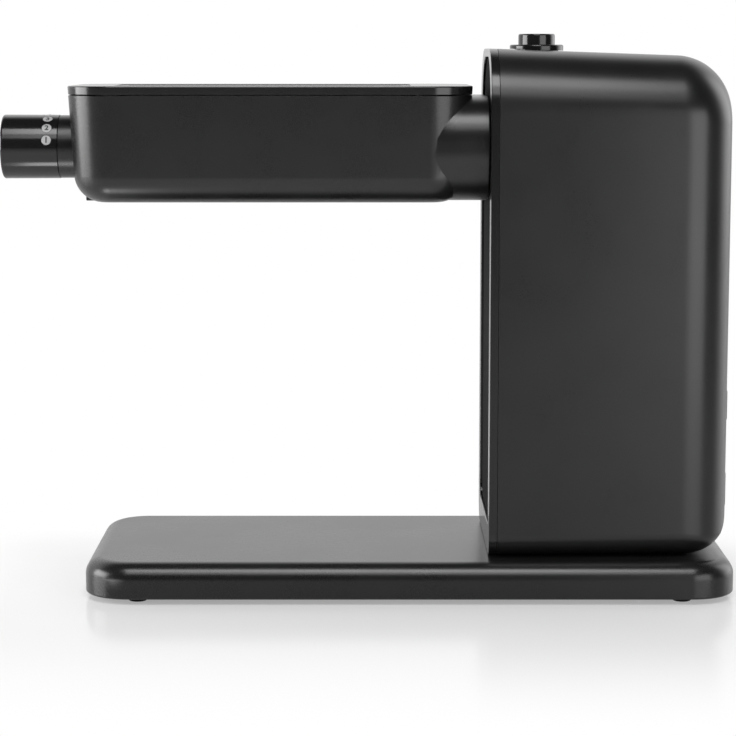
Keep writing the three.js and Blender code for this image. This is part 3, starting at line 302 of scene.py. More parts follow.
def bake(piece):
    """Turns the piece's modifiers into its plain mesh."""
    graph = bpy.context.evaluated_depsgraph_get()
    made = bpy.data.meshes.new_from_object(piece.evaluated_get(graph))
    piece.modifiers.clear()
    piece.data = made
    return piece


def carve(piece, *others, operation="DIFFERENCE"):
    """Cuts the others out of the piece, or joins them to it, and removes them."""
    for other in others:
        cut = piece.modifiers.new("cut", "BOOLEAN")
        cut.operation = operation
        cut.solver = "EXACT"
        cut.object = other
    bake(piece)
    for other in others:
        bpy.data.objects.remove(other)
    return piece


def fuse(piece, *others):
    return carve(piece, *others, operation="UNION")


def bevel(piece, width, segments=3, angle=40):
    """Rounds the piece's sharp edges."""
    edge = piece.modifiers.new("edge", "BEVEL")
    edge.width = width * MM
    edge.segments = segments
    edge.limit_method = "ANGLE"
    edge.angle_limit = math.radians(angle)
    edge.use_clamp_overlap = True
    return bake(piece)


def merged(name, pieces):
    """One piece from several that stand apart."""
    build = bmesh.new()
    for piece in pieces:
        build.from_mesh(piece.data)
        bpy.data.objects.remove(piece)
    mesh = bpy.data.meshes.new(name)
    build.to_mesh(mesh)
    build.free()
    return link(name, mesh)


def shade(piece):
    """Smooth shading that keeps flat faces flat and sharp edges sharp."""
    sharp = math.radians(32)
    build = bmesh.new()
    build.from_mesh(piece.data)
    for polygon in build.faces:
        polygon.smooth = True
    for edge in build.edges:
        edge.smooth = len(edge.link_faces) == 2 and edge.calc_face_angle(math.pi) < sharp
    build.to_mesh(piece.data)
    build.free()
    weigh = piece.modifiers.new("normals", "WEIGHTED_NORMAL")
    weigh.keep_sharp = True
    weigh.weight = 50
    return bake(piece)


def dress(piece, body, slot, finish, *nodes):
    """Finishes a piece, says what it rides on, and hides the CAD nodes it stands for."""
    shade(piece)
    piece.data.materials.clear()
    piece.data.materials.append(finishes[finish])
    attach(piece, body)
    if nodes:
        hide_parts(*nodes)


# Shader writing

class Value:
    """A socket of a finish, on which sums add Math nodes."""

    def __init__(self, finish, socket):
        self.finish = finish
        self.socket = socket

    def sum(self, operation, first, second):
        return self.finish.node("Math", {"operation": operation}, {0: first, 1: second})

    def __add__(self, other):
        return self.sum("ADD", self, other)

    def __sub__(self, other):
        return self.sum("SUBTRACT", self, other)

    def __rsub__(self, other):
        return self.sum("SUBTRACT", other, self)

    def __mul__(self, other):
        return self.sum("MULTIPLY", self, other)

    __radd__ = __add__
    __rmul__ = __mul__


class Tree:
    """A node tree under construction."""

    prefix = "ShaderNode"
    shared = ("Math", "CombineXYZ")

    def node(self, kind, settings=None, inputs=None, output=0):
        prefix = "ShaderNode" if kind in self.shared else self.prefix
        made = self.tree.nodes.new(prefix + kind)
        for key, value in (settings or {}).items():
            setattr(made, key, value)
        for key, value in (inputs or {}).items():
            socket = made.inputs[key]
            if not isinstance(value, (Value, list)):
                socket.default_value = value
                continue
            for part in value if isinstance(value, list) else [value]:
                self.tree.links.new(part.socket, socket)
        return Value(self, made.outputs[output]) if made.outputs else None


class Finish(Tree):
    """The node tree of a material or of the world."""

    def __init__(self, owner):
        owner.use_nodes = True
        self.tree = owner.node_tree
        self.tree.nodes.clear()

    def mix(self, share, first, second):
        """Blends two colours."""
        return self.node("Mix", {"data_type": "RGBA"}, {0: share, 6: first, 7: second}, 2)

    def spread(self, value, low, high, to_low=0.0, to_high=1.0):
        """Maps a range onto another, with soft ends."""
        return self.node("MapRange", {"interpolation_type": "SMOOTHSTEP"},
                         {0: value, 1: low, 2: high, 3: to_low, 4: to_high})

    def noise(self, where, size, detail=2.0, rough=0.5):
        """Noise whose lumps are about size millimetres across."""
        return self.node("TexNoise", {}, {"Vector": where, "Scale": 1 / (size * MM),
                                          "Detail": detail, "Roughness": rough})

    def stretched(self, where, factors):
        """Coordinates scaled apart along X, Y and Z."""
        return self.node("Mapping", {}, {"Vector": where, "Scale": factors})

    def relief(self, height, depth, before=None):
        """A relief of the given depth in millimetres, on top of another."""
        inputs = {"Height": height, "Distance": depth * MM, "Strength": 1.0}
        if before is not None:
            inputs["Normal"] = before
        return self.node("Bump", {}, inputs)

    def size_of(self, value):
        """The value without its sign."""
        return self.node("Math", {"operation": "ABSOLUTE"}, {0: value})

    def parts(self, where):
        """X, Y and Z of a direction or place."""
        split = self.node("SeparateXYZ", {}, {0: where}).socket.node
        return [Value(self, split.outputs[number]) for number in range(3)]


class Rule(Tree):
    """A Geometry Nodes tree: the rule that a repeated shape follows, with named inputs."""

    prefix = "GeometryNode"

    def __init__(self, name, sizes):
        self.tree = bpy.data.node_groups.new(name, "GeometryNodeTree")
        sockets = {"Places": "Geometry", **sizes, "Finish": "Material"}
        interface = self.tree.interface
        for title, kind in sockets.items():
            interface.new_socket(title, in_out="INPUT", socket_type="NodeSocket" + kind)
        interface.new_socket("Shape", in_out="OUTPUT", socket_type="NodeSocketGeometry")
        entry = self.tree.nodes.new("NodeGroupInput")
        self.given = {title: Value(self, entry.outputs[title]) for title in sockets}

    def moved(self, shape, **how):
        """The shape with a Translation or a Rotation."""
        return self.node("Transform", {}, {"Geometry": shape, **how})

    def close(self, points, shape):
        """Sets the shape on the points, as real geometry that carries its finish."""
        copies = self.node("InstanceOnPoints", {}, {"Points": points, "Instance": shape})
        real = self.node("RealizeInstances", {}, {"Geometry": copies})
        done = self.node("SetMaterial", {}, {"Geometry": real, "Material": self.given["Finish"]})
        leave = self.tree.nodes.new("NodeGroupOutput")
        self.tree.links.new(done.socket, leave.inputs[0])

    def piece(self, name, places, values, finish):
        """A plain mesh made by the rule round the given places."""
        mesh = bpy.data.meshes.new(name)
        mesh.from_pydata([Vector(place) * MM for place in places], [], [])
        made = link(name, mesh)
        rule = made.modifiers.new("rule", "NODES")
        rule.node_group = self.tree
        values = {**values, "Finish": finishes[finish]}
        for item in self.tree.interface.items_tree:
            if item.in_out == "INPUT" and item.name in values:
                rule[item.identifier] = values[item.name]
        return bake(made)


# Finishes: each paint returns what varies over the surface

def grey(level):
    return (level, level, level, 1)


def tinted(colour, factor, lift=0.0):
    """The colour made lighter or darker."""
    return tuple(part * factor + lift for part in colour[:3]) + (1,)


def surface(name, colour, roughness, paint, fixed=None):
    """A material; fixed holds the shader's other constant sockets."""
    material = bpy.data.materials.new(name)
    finish = Finish(material)
    where = finish.node("TexCoord", {}, {}, 3)
    inputs = {"Base Color": colour, "Roughness": roughness, **(fixed or {}),
              **paint(finish, where, colour, roughness)}
    shader = finish.node("BsdfPrincipled", {}, inputs)
    finish.node("OutputMaterial", {}, {"Surface": shader})
    return material


def moulded(grain, depth, wave=0.0):
    """Moulded plastic: an even fine grain, a faint sink-mark wave and slightly uneven gloss."""
    def paint(finish, where, colour, roughness):
        fine = finish.noise(where, grain, detail=3, rough=0.6)
        cloud = finish.noise(where, 38, detail=3, rough=0.55)
        lift = finish.spread(cloud, 0.35, 0.65)
        normal = finish.relief(fine, depth)
        if wave:
            sinks = finish.noise(where, 26, detail=1, rough=0.4)
            normal = finish.relief(sinks, wave, normal)
        return {"Base Color": finish.mix(lift, tinted(colour, 0.9), tinted(colour, 1.1)),
                "Roughness": roughness - 0.01 + 0.02 * lift + (fine - 0.5) * 0.05,
                "Normal": normal}
    return paint


def polished(finish, where, colour, roughness):
    """Gloss plastic: hair-fine wiping marks and a barely uneven skin."""
    wipes = finish.noise(finish.stretched(where, (1, 6, 6)), 0.9, detail=4, rough=0.7)
    marks = finish.spread(wipes, 0.55, 0.8)
    cloud = finish.noise(where, 30)
    return {"Base Color": finish.mix(cloud, colour, tinted(colour, 1.25)),
            "Roughness": roughness + 0.05 * marks + 0.03 * cloud,
            "Normal": finish.relief(cloud, 0.012)}


def ground(along):
    """Ground metal: fine lines round the axis, which runs along the given direction."""
    def paint(finish, where, colour, roughness):
        factors = tuple(30.0 if axis == along else 1.0 for axis in AXES)
        lines = finish.noise(finish.stretched(where, factors), 3, detail=4, rough=0.7)
        stain = finish.noise(where, 14, detail=3)
        clean = finish.spread(stain, 0.3, 0.7)
        return {"Base Color": finish.mix(clean, tinted(colour, 0.8), colour),
                "Roughness": roughness + (lines - 0.5) * 0.16 + 0.06 * stain,
                "Normal": finish.relief(lines, 0.01)}
    return paint


def cast(finish, where, colour, roughness):
    """Pressure-cast metal: a pebbled skin with duller patches."""
    pebbles = finish.node("TexVoronoi", {}, {"Vector": where, "Scale": 1100.0})
    patches = finish.noise(where, 18, detail=4, rough=0.6)
    bright = finish.spread(patches, 0.35, 0.65)
    return {"Base Color": finish.mix(bright, tinted(colour, 0.72), colour),
            "Roughness": roughness + 0.14 * patches,
            "Normal": finish.relief(pebbles, 0.03)}


def rubbery(finish, where, colour, roughness):
    """Rubber: a dry, dusty skin."""
    dust = finish.spread(finish.noise(where, 3, detail=5, rough=0.7), 0.45, 0.75)
    return {"Base Color": finish.mix(dust, colour, tinted(colour, 1, lift=0.03)),
            "Normal": finish.relief(finish.noise(where, 0.4), 0.03)}


def etched(finish, where, colour, roughness):
    """Circuit board: copper tracks and pads that show through the green lacquer."""
    tracks = finish.node("TexBrick", {"offset": 0.37, "squash": 0.6}, {
        "Vector": where, "Color1": grey(1), "Color2": grey(0.85), "Mortar": grey(0),
        "Scale": 420.0, "Mortar Size": 0.09, "Mortar Smooth": 0.1})
    track = finish.spread(tracks, 0.2, 0.6)
    return {"Base Color": finish.mix(track, tinted(colour, 1.9, lift=0.02), colour),
            "Roughness": roughness + 0.1 * finish.noise(where, 9),
            "Normal": finish.relief(track, 0.04)}


def printed(finish, where, colour, roughness):
    """Pad-printed ink: thin and slightly uneven."""
    ink = finish.noise(where, 0.5, detail=3, rough=0.6)
    return {"Base Color": finish.mix(ink, tinted(colour, 0.82), colour),
            "Normal": finish.relief(ink, 0.01)}


# Each finish: colour, roughness, paint and other constants
PLASTIC = {"IOR": 1.5}
METAL = {"Metallic": 1.0}
satin = moulded(0.35, 0.004, 0.003)
finishes = {name: surface(name, *row) for name, row in {
    "gloss_black": (grey(0.0085), 0.17, polished, PLASTIC),
    "gloss_turned": (grey(0.0085), 0.13, polished, PLASTIC),
    "satin_black": (grey(0.009), 0.28, satin, PLASTIC),
    "satin_tower": (grey(0.009), 0.29, satin, PLASTIC),
    "matt_black": (grey(0.012), 0.5, moulded(0.7, 0.03), {"IOR": 1.46}),
    "panel_black": (grey(0.014), 0.8, moulded(0.7, 0.04), {"Specular IOR Level": 0.04}),
    "rubber_black": (grey(0.012), 0.85, rubbery),
    "steel": ((0.56, 0.57, 0.58, 1), 0.27, ground("x"), METAL),
    "steel_wire": ((0.5, 0.5, 0.5, 1), 0.3, ground("z"), METAL),
    "zinc": ((0.4, 0.41, 0.43, 1), 0.42, cast, METAL),
    "nylon": ((0.79, 0.77, 0.69, 1), 0.45, moulded(0.5, 0.01, 0.03)),
    "dark_nylon": ((0.042, 0.043, 0.046, 1), 0.48, moulded(0.5, 0.012)),
    "brass": ((0.5, 0.34, 0.12, 1), 0.33, ground("x"), METAL),
    "board_green": ((0.025, 0.105, 0.045, 1), 0.38, etched),
    "pad_grey": (grey(0.5), 0.42, printed),
    "pad_ink": (grey(0.02), 0.5, printed),
}.items()}


# Base

def slab_ring(inset, z):
    left, right = low("base_cover").x, high("base_cover").x
    y = (inset - BASE_WIDTH / 2, BASE_WIDTH / 2 - inset)
    return on_z(rounded((left + inset, right - inset), y, max(BASE_CORNER - inset, 0.5), 24), z)


def screw_bore(span, centre):
    return rod("bore", SCREW_RADIUS + SEAT, span, centre)


def make_base():
    bottom, top = low("base_cover").z, high("base_cover").z
    rings = [slab_ring(BASE_WALL, bottom), slab_ring(BASE_LOWER_EDGE, bottom)]
    rings += [slab_ring(inset, bottom + rise) for rise, inset in bend(BASE_LOWER_EDGE, 4, 1)]
    rings += [slab_ring(inset, top - fall) for inset, fall in bend(BASE_FILLET, 12)]
    cover = loft("base_cover_skin", rings)

    ceiling = top - BASE_WALL
    rings = [slab_ring(BASE_WALL, bottom - PAST)]
    rings += [slab_ring(BASE_WALL + inset, ceiling - fall)
              for inset, fall in bend(BASE_FILLET - BASE_WALL, 4)]
    carve(cover, loft("base_hollow", rings))

    plate = high("base_floor_plate").z
    bosses, bores = [], []
    for number in range(1, 5):
        place = middle(f"base_screw_{number}")
        bosses.append(rod("boss", BOSS_RADIUS, (plate + SEAT, ceiling + PAST), place))
        bores.append(screw_bore((plate, ceiling - BITE), place))
        bores.append(screw_bore((ceiling - PAST, top + PAST), middle(f"tower_screw_{number}")))
    fuse(cover, *bosses)
    carve(cover, *bores)
    dress(cover, "stand", "satin_black", "satin_black", "base_cover")

    dish, dish_depth, lip, flare, soft = 2.2, 0.5, 1.6, 0.2, 0.3
    for number in range(1, 5):
        name = f"foot_{number}"
        radius = (high(name).x - low(name).x) / 2
        stud_top = high(name).z
        foot = turned(f"rubber_{name}", [
            (0, dish_depth), (radius - dish, dish_depth, soft), (radius - lip, 0, soft),
            (radius - flare, 0, 0.8), (radius, bottom - SEAT, soft), (FOOT_STUD, bottom - SEAT),
            (FOOT_STUD, stud_top), (0, stud_top)], middle(name), "z", 48)
        dress(foot, "stand", "rubber_black", "rubber_black", name)


# Tower

def fall_at(radius, distance):
    """How far a rounded edge has dropped at a distance from its end."""
    short = max(radius - distance, 0)
    return radius - math.sqrt(max(radius * radius - short * short, 0))


def tower_ring(at, inset, lift=0.0, steps=18):
    """The tower's section at a distance back from its face."""
    back = TOWER_WIDTH - inset - at
    side_fall = fall_at(REAR_SIDE_RADIUS - inset, back)
    y = TOWER_HALF_DEPTH - at * TOWER_DRAFT - inset - side_fall - lift
    fall = fall_at(REAR_TOP_RADIUS - inset, back)
    top = TOWER_TOP - at * TOWER_SLOPE - inset - fall - lift
    foot = TOWER_FLOOR + inset + fall_at(REAR_LOWER_RADIUS - inset, back) + lift
    over = max(TOWER_TOP_RADIUS - inset - side_fall - lift, 0.5)
    under = max(TOWER_LOWER_RADIUS - inset - side_fall - lift, 0.5)
    return on_x(rounded((-y, y), (foot, top), (over, over, under, under), steps), FACE + at)


def tower_skin(name, inset, front, edge=0.0, steps=22):
    rings = []
    if edge:
        rings = [tower_ring(front + at, inset, lift) for at, lift in bend(edge, 4)[:-1]]
    rings.append(tower_ring(front + edge, inset))
    rear = bend(REAR_TOP_RADIUS - inset, steps)[::-1]
    rings += [tower_ring(TOWER_WIDTH - inset - at, inset) for at, _ in rear]
    return loft(name, rings)


def panel_skin(name, places):
    """A skin with the side panel's outline, grown by a distance at each place from the face."""
    rings = []
    for at, grow in places:
        y = TOWER_HALF_DEPTH - TRIM_SIDE + grow
        z = (TOWER_FLOOR + TRIM_BELOW - grow, TOWER_TOP - TRIM_ABOVE + grow)
        under, over = PANEL_CORNER / 4 + grow, PANEL_CORNER + grow
        rings.append(on_x(rounded((-y, y), z, (over, over, under, under), 18), FACE + at))
    return loft(name, rings)


def make_shell():
    front = TRIM + SEAT
    shell = tower_skin("tower_skin", 0, front, edge=0.12)
    room = tower_skin("tower_room", TOWER_WALL, front - PAST, steps=6)
    hole = rod("bezel_hole", BEZEL_NECK + SEAT, (TOWER_TOP - BEZEL_DEPTH, TOWER_TOP + PAST),
               (BUTTON_PLACE, 0), steps=72)
    rear = (FACE + TOWER_WIDTH - REAR_CUT, FACE + TOWER_WIDTH + PAST)
    switch_hole = box("switch_hole", rear, *grown(SWITCH_CASE, SEAT))
    inlet_hole = box("inlet_hole", rear, *grown(INLET_CASE, SEAT))
    carve(shell, room, hole, switch_hole, inlet_hole)

    floor, boss_top = TOWER_FLOOR + PAST, TOWER_FLOOR + BOSS_HEIGHT
    bosses, bores = [], []
    for number in range(1, 5):
        place = middle(f"tower_screw_{number}")
        bosses.append(rod("boss", BOSS_RADIUS, (floor, boss_top), place))
        bores.append(screw_bore((TOWER_FLOOR - PAST, boss_top - BITE), place))
    near, far = low("control_board"), high("control_board")
    for x in (near.x + POST_RADIUS * 2, far.x - POST_RADIUS * 2):
        for y in (near.y + POST_RADIUS * 2, far.y - POST_RADIUS * 2):
            bosses.append(rod("post", POST_RADIUS, (floor, near.z - SEAT), (x, y)))
    fuse(shell, *bosses)
    carve(shell, *bores)
    dress(shell, "stand", "gloss_black", "satin_tower", "tower_shell")


def make_trim():
    front_edge = ((0, 0.5), (0.14, 0.16), (0.5, 0))
    rear_edge = ((TRIM + 0.08, 0), (TRIM + 0.18, 0.1))
    trim = loft("tower_trim", [tower_ring(at, 0, lift) for at, lift in front_edge + rear_edge])
    window_edge = ((-PAST, 0.6), (0, 0.6), (0.15, 0.18), (0.6, 0), (TRIM + PAST, 0))
    carve(trim, panel_skin("trim_window", window_edge))
    dress(trim, "stand", "gloss_black", "gloss_black", "tower_trim_frame")


def make_panel():
    front = TRIM + SEAT
    back = front + PANEL_THICKNESS
    panel = panel_skin("side_panel", [(at, -SEAT - fall) for at, fall in (
        (PANEL_RECESS, 0.5), (PANEL_RECESS + 0.15, 0.15), (PANEL_RECESS + 0.5, 0), (back, 0))])
    flange = panel_skin("panel_flange", [(front, PANEL_FLANGE), (back, PANEL_FLANGE)])
    room = tower_skin("flange_room", TOWER_WALL + SEAT, front - PAST, steps=6)
    carve(flange, room, operation="INTERSECT")
    fuse(panel, flange)
    edge, end = 0.4, 9
    face = FACE + PANEL_RECESS
    hole = turned("spigot_hole", [
        (0, FACE - PAST), (SPIGOT_HOLE + edge, FACE - PAST), (SPIGOT_HOLE + edge, face),
        (SPIGOT_HOLE, face + edge), (SPIGOT_HOLE, FACE + end), (0, FACE + end)], (0, AXIS))
    carve(panel, hole)
    dress(panel, "stand", "matt_black", "panel_black", "tower_side_panel")


def make_bezel():
    x = BUTTON_PLACE
    bottom, top = low("button_bezel").z, high("button_bezel").z

    def seat(away):
        """The sloping top's height under the bezel, with its clearance."""
        return TOWER_TOP - (x - FACE + away) * TOWER_SLOPE + SEAT

    well, stem_hole, floor, round_edge = 9.1, 2.95, 1.6, 0.4
    lowest = seat(BEZEL_RADIUS)
    ring = turned("bezel_ring", [
        (well, bottom + floor), (well, top, round_edge), (BEZEL_RADIUS, top, 0.8),
        (BEZEL_RADIUS, lowest), (BEZEL_NECK, lowest), (BEZEL_NECK, bottom, round_edge),
        (stem_hole, bottom), (stem_hole, bottom + floor)], (x, 0), "z", 96, closed=True)
    reach = BEZEL_RADIUS + 1.2
    under = prism("bezel_under", [
        (x - reach, lowest - PAST), (x + reach, lowest - PAST), (x + reach, seat(reach)),
        (x - reach, seat(-reach))], (-reach, reach), "y")
    neck = rod("bezel_neck", BEZEL_NECK, (lowest - PAST * 2, lowest + PAST * 3), (x, 0), steps=96)
    carve(under, neck)
    carve(ring, under)
    dress(ring, "stand", "gloss_black", "gloss_turned", "button_bezel")


def make_button():
    x = BUTTON_PLACE
    peak = high("release_button").z
    radius, skirt, dish, stem = 8.75, 7.4, 0.45, 2.6
    under = peak - skirt
    push = turned("push_cap", [
        (0, under), (radius, under, 0.3), (radius, peak - 1.6, 0.5), (radius - 0.1, peak, 0.75),
        (5.8, peak, 2.0), (4.4, peak - dish, 2.0), (0, peak - dish)], (x, 0), "z", 96)
    wedge_bottom, wedge_top, wedge_half, wedge_depth = 238.3, 244.3, 6.6, 2
    stem_bar = rod("push_stem", stem, (wedge_top - BITE, under + BITE), (x, 0))
    wedge = prism("push_wedge", [
        (-wedge_half, wedge_top), (-stem, wedge_bottom), (stem, wedge_bottom),
        (wedge_half, wedge_top)], (x - wedge_depth, x + wedge_depth))
    fuse(push, stem_bar, wedge)
    dress(push, "button", "gloss_black", "gloss_turned", "release_button")


def rear_frame(name, case, flange, depth, corner, edge):
    """A rounded frame on the tower's rear face, with a case that goes into the wall.

    The edge gives how far the outline has drawn in at each height over the face."""
    face = FACE + TOWER_WIDTH
    seat = face + SEAT
    plate = loft(name, [on_x(rounded(*grown(case, flange - fall), corner, 8), seat + at)
                        for at, fall in edge])
    return fuse(plate, box("case", (face - depth, seat + BITE), *case))


def make_switch():
    face = FACE + TOWER_WIDTH
    wall, well_depth = 1.0, 6.2
    plate = rear_frame("switch_frame", SWITCH_CASE, 1.2, 13, 1.4,
                       ((0, 0), (2.3, 0), (2.9, 0.25), (3.2, 0.8)))
    well = grown(SWITCH_CASE, -wall)
    carve(plate, box("switch_well", (face - well_depth, face + well_depth), *well))
    bevel(plate, 0.2, 2)
    dress(plate, "stand", "matt_black", "matt_black", "switch_body")

    # The rocker's outline: out from the rear face, up from its middle, and edge radius
    gap = 0.35
    (left, right), (bottom, top) = grown(well, -gap)
    mid, half = (bottom + top) / 2, (top - bottom) / 2
    outline = soften([(face + out, mid + up, edge) for out, up, edge in (
        (-4, 0, 0.4), (-1.5, -4.15, 0.4), (1.2, gap - half, 0.6), (1.5, 0, 12),
        (3.25, half - 1, 0.6), (-0.3, half - 1, 0.4))], closed=True)
    rocker = prism("rocker_cap", outline, (left, right), "y")
    bevel(rocker, 0.35)
    dress(rocker, "rocker", "gloss_black", "gloss_black", "power_rocker")


def make_inlet():
    face = FACE + TOWER_WIDTH
    wall, depth = 1.8, 9.0
    plate = rear_frame("inlet_frame", INLET_CASE, 2.0, 14, 2,
                       ((0, 0), (1.5, 0), (1.85, 0.15), (2.0, 0.5)))
    (left, right), (bottom, top) = grown(INLET_CASE, -wall)
    outline = [(left, bottom, 1), (right, bottom, 1), (right, top, 3), (left, top, 3)]
    carve(plate, prism("inlet_recess", soften(outline, closed=True), (face - depth, face + 4)))
    bevel(plate, 0.25, 2)
    dress(plate, "stand", "matt_black", "matt_black", "power_inlet")
    pin, tip, place, root = 1.2, face - 1.8, 4.3, face - depth - SEAT
    pins = [turned("pin", [(0, root), (pin, root), (pin, tip, pin / 2), (0, tip)],
                   (side * place, (bottom + top) / 2), "x", 24) for side in (-1, 1)]
    dress(merged("inlet_pins", pins), "stand", "steel", "steel")


# Roller head

def head_ring(z, inset):
    fall = (HEAD_TOP - z) * HEAD_DRAFT + inset
    x = (HEAD_LEFT + fall, HEAD_RIGHT - fall)
    y = (fall - HEAD_HALF_DEPTH, HEAD_HALF_DEPTH - fall)
    return on_z(rounded(x, y, max(HEAD_CORNER - fall, 0.5), 20), z)


def head_skin(name, inset, top, steps=14, edge=0.0):
    """The head's skin drawn in by an inset, with its lower fillet, up to a height."""
    bottom = HEAD_BOTTOM + max(inset, 0)
    rings = [head_ring(bottom + rise, inset + fall)
             for rise, fall in bend(HEAD_FILLET - max(inset, 0), steps)]
    rings.append(head_ring(top - edge, inset))
    if edge:
        part = edge * 0.3
        rings += [head_ring(top - part, inset + part), head_ring(top, inset + edge)]
    return loft(name, rings)


def neck_skin(name, inset, span, end, steps=18):
    def ring(x, fall, narrow):
        drawn = inset + fall
        y = NECK_HALF_DEPTH - drawn - narrow
        z = NECK_HALF_HEIGHT - drawn
        over, under = NECK_UPPER_RADIUS - drawn, NECK_LOWER_RADIUS - drawn
        outline = rounded((-y, y), (AXIS - z, AXIS + z), (over, over, under, under), steps)
        return on_x(outline, FACE + x)

    waist, middle_place = 1.6, -13.0
    rings = []
    for step in range(9):
        share = step / 8
        narrow = waist * (1 - math.sin(share * QUARTER))
        rings.append(ring(span[0] + (middle_place - span[0]) * share, 0, narrow))
    rings += [ring(span[1] - at, fall, 0) for at, fall in bend(end, 6)[::-1]]
    return loft(name, rings)


def make_head():
    shell = head_skin("head_skin", 0, BODY_TOP, edge=0.35)
    fuse(shell, neck_skin("neck_skin", 0, (NECK_ROOT, -SEAT), 0.6))
    room = head_skin("head_room", HEAD_WALL, BODY_TOP + PAST, 6)
    neck_end = -SEAT - HEAD_WALL
    neck_room = neck_skin("neck_room", HEAD_WALL, (NECK_ROOT - PAST, neck_end), 0.5, 6)
    outlet = prism("outlet_cut", rounded(WORK, OUTLET, 1.5, 6),
                   (HEAD_BOTTOM - PAST, HEAD_BOTTOM + HEAD_WALL + PAST), "z")
    hole = rod("neck_hole", SPIGOT_HOLE, (FACE + neck_end - PAST, FACE + PAST), (0, AXIS), "x", 72)
    knob_hole = rod("knob_hole", SHAFT_HOLE, (HEAD_LEFT - PAST, HEAD_LEFT + HEAD_WALL * 3),
                    (0, AXIS), "x")
    carve(shell, room, neck_room, outlet, hole, knob_hole)

    length, root, drop, rise = 4.3, 0.6, 0.3, 4.6
    left = HEAD_LEFT + HEAD_FILLET / 2
    guard = box("guard_lip", (left, left + length), OUTLET,
                (HEAD_BOTTOM - drop, HEAD_BOTTOM + rise))
    bevel(guard, 0.5)
    carve(guard, head_skin("guard_room", root, BODY_TOP + PAST, 10))
    fuse(shell, guard)
    dress(shell, "head", "satin_black", "satin_black", "head_body")


def make_rim():
    edge, chamfer = 0.7, 0.3
    rings = [head_ring(RIM_BOTTOM, chamfer), head_ring(RIM_BOTTOM + chamfer, 0)]
    rings += [head_ring(HEAD_TOP - fall, inset) for inset, fall in bend(edge, 4)]
    rim = loft("rim_plate", rings)
    under = loft("rim_under", [head_ring(RIM_BOTTOM - PAST, HEAD_WALL),
                               head_ring(HEAD_TOP - RIM_PLATE, HEAD_WALL)])
    mouth = (WORK, (-MOUTH, MOUTH))
    carve(under, box("tray_block", *grown(mouth, LEDGE), (RIM_BOTTOM - PAST * 2, HEAD_TOP)))
    seat = prism("mouth_seat", rounded(*mouth, 1.2, 6),
                 (RIM_BOTTOM + LEDGE_RISE, HEAD_TOP + PAST), "z")
    through = box("mouth_through", *grown(mouth, -LEDGE), (RIM_BOTTOM - PAST, HEAD_TOP))
    carve(rim, under, seat, through)
    dress(rim, "head", "gloss_black", "gloss_black", "head_rim")


def make_guide():
    wall, lead, half_gap = 1.6, 0.8, 13.0
    floor, top, skirt = RIM_BOTTOM + LEDGE_RISE + SEAT, HEAD_TOP - SEAT, RIM_BOTTOM - SEAT
    x, y = grown((WORK, (-MOUTH, MOUTH)), -SEAT)
    guide = prism("guide_tray", rounded(x, y, 0.9, 6), (floor, top), "z")
    fuse(guide, box("guide_skirt", *grown((x, y), -LEDGE), (skirt, floor + BITE)))
    left, right = grown([x], -LEDGE - wall)[0]
    brim = y[1] - wall
    rings = []
    for z, half in ((skirt - PAST, half_gap), (skirt, half_gap), (top - lead, brim - 1.2),
                    (top - 0.2, brim - 0.4), (top + 0.5, brim + 0.1)):
        flare = max(z - top + lead, 0) * 0.4
        rings.append(on_z(rounded((left - flare, right), (-half, half), 1.5, 8), z))
    carve(guide, loft("guide_throat", rings))
    bevel(guide, 0.2, 2, 50)
    dress(guide, "head", "satin_black", "matt_black", "hopper_guide")


# Thickness knob

def wrap(points, radius, angle):
    """A flat drawing laid on the knob at the dial: u runs along X, v runs up round it."""
    turns = [(u, angle + v / radius) for u, v in points]
    return [(DIAL_PLACE + u, -radius * math.cos(turn), AXIS + radius * math.sin(turn))
            for u, turn in turns]


def numeral(digit, radius, angle):
    """A digit's flat outline, cut into strips so that it bends with the knob."""
    letters = bpy.data.curves.new("digit", "FONT")
    letters.body = digit
    letters.size = 3.8
    letters.offset = 0.12
    letters.align_x = "CENTER"
    letters.align_y = "CENTER"
    letters.resolution_u = 4
    text = link("digit", letters)
    graph = bpy.context.evaluated_depsgraph_get()
    flat = bpy.data.meshes.new_from_object(text.evaluated_get(graph))
    bpy.data.objects.remove(text)
    strip, strips_each_way = 0.2, 9
    cuts = bmesh.new()
    cuts.from_mesh(flat)
    for step in range(-strips_each_way, strips_each_way + 1):
        parts = cuts.verts[:] + cuts.edges[:] + cuts.faces[:]
        bmesh.ops.bisect_plane(cuts, geom=parts, plane_co=(0, step * strip, 0),
                               plane_no=(0, 1, 0))
    cuts.to_mesh(flat)
    cuts.free()
    points = wrap([vertex.co.xy for vertex in flat.vertices], radius, angle)
    return points, [list(polygon.vertices) for polygon in flat.polygons]


def disc(disc_radius, radius, angle, steps=28):
    """A round pad's points and faces, laid on the knob."""
    rows = (0.35, 0.7, 1.0)
    points, faces = [(0.0, 0.0)], []
    for share in rows:
        points += [(disc_radius * share * math.cos(2 * math.pi * i / steps),
                    disc_radius * share * math.sin(2 * math.pi * i / steps)) for i in range(steps)]
    for i in range(steps):
        j = (i + 1) % steps
        faces.append([0, 1 + i, 1 + j])
        for row in range(len(rows) - 1):
            a = 1 + row * steps
            faces.append([a + i, a + steps + i, a + steps + j, a + j])
    return wrap(points, radius, angle), faces


def thin(name, points, faces):
    """A thin print, closed all round."""
    piece = make(name, points, faces)
    wall = piece.modifiers.new("depth", "SOLIDIFY")
    wall.thickness = 0.05 * MM
    wall.offset = -1
    return bake(piece)


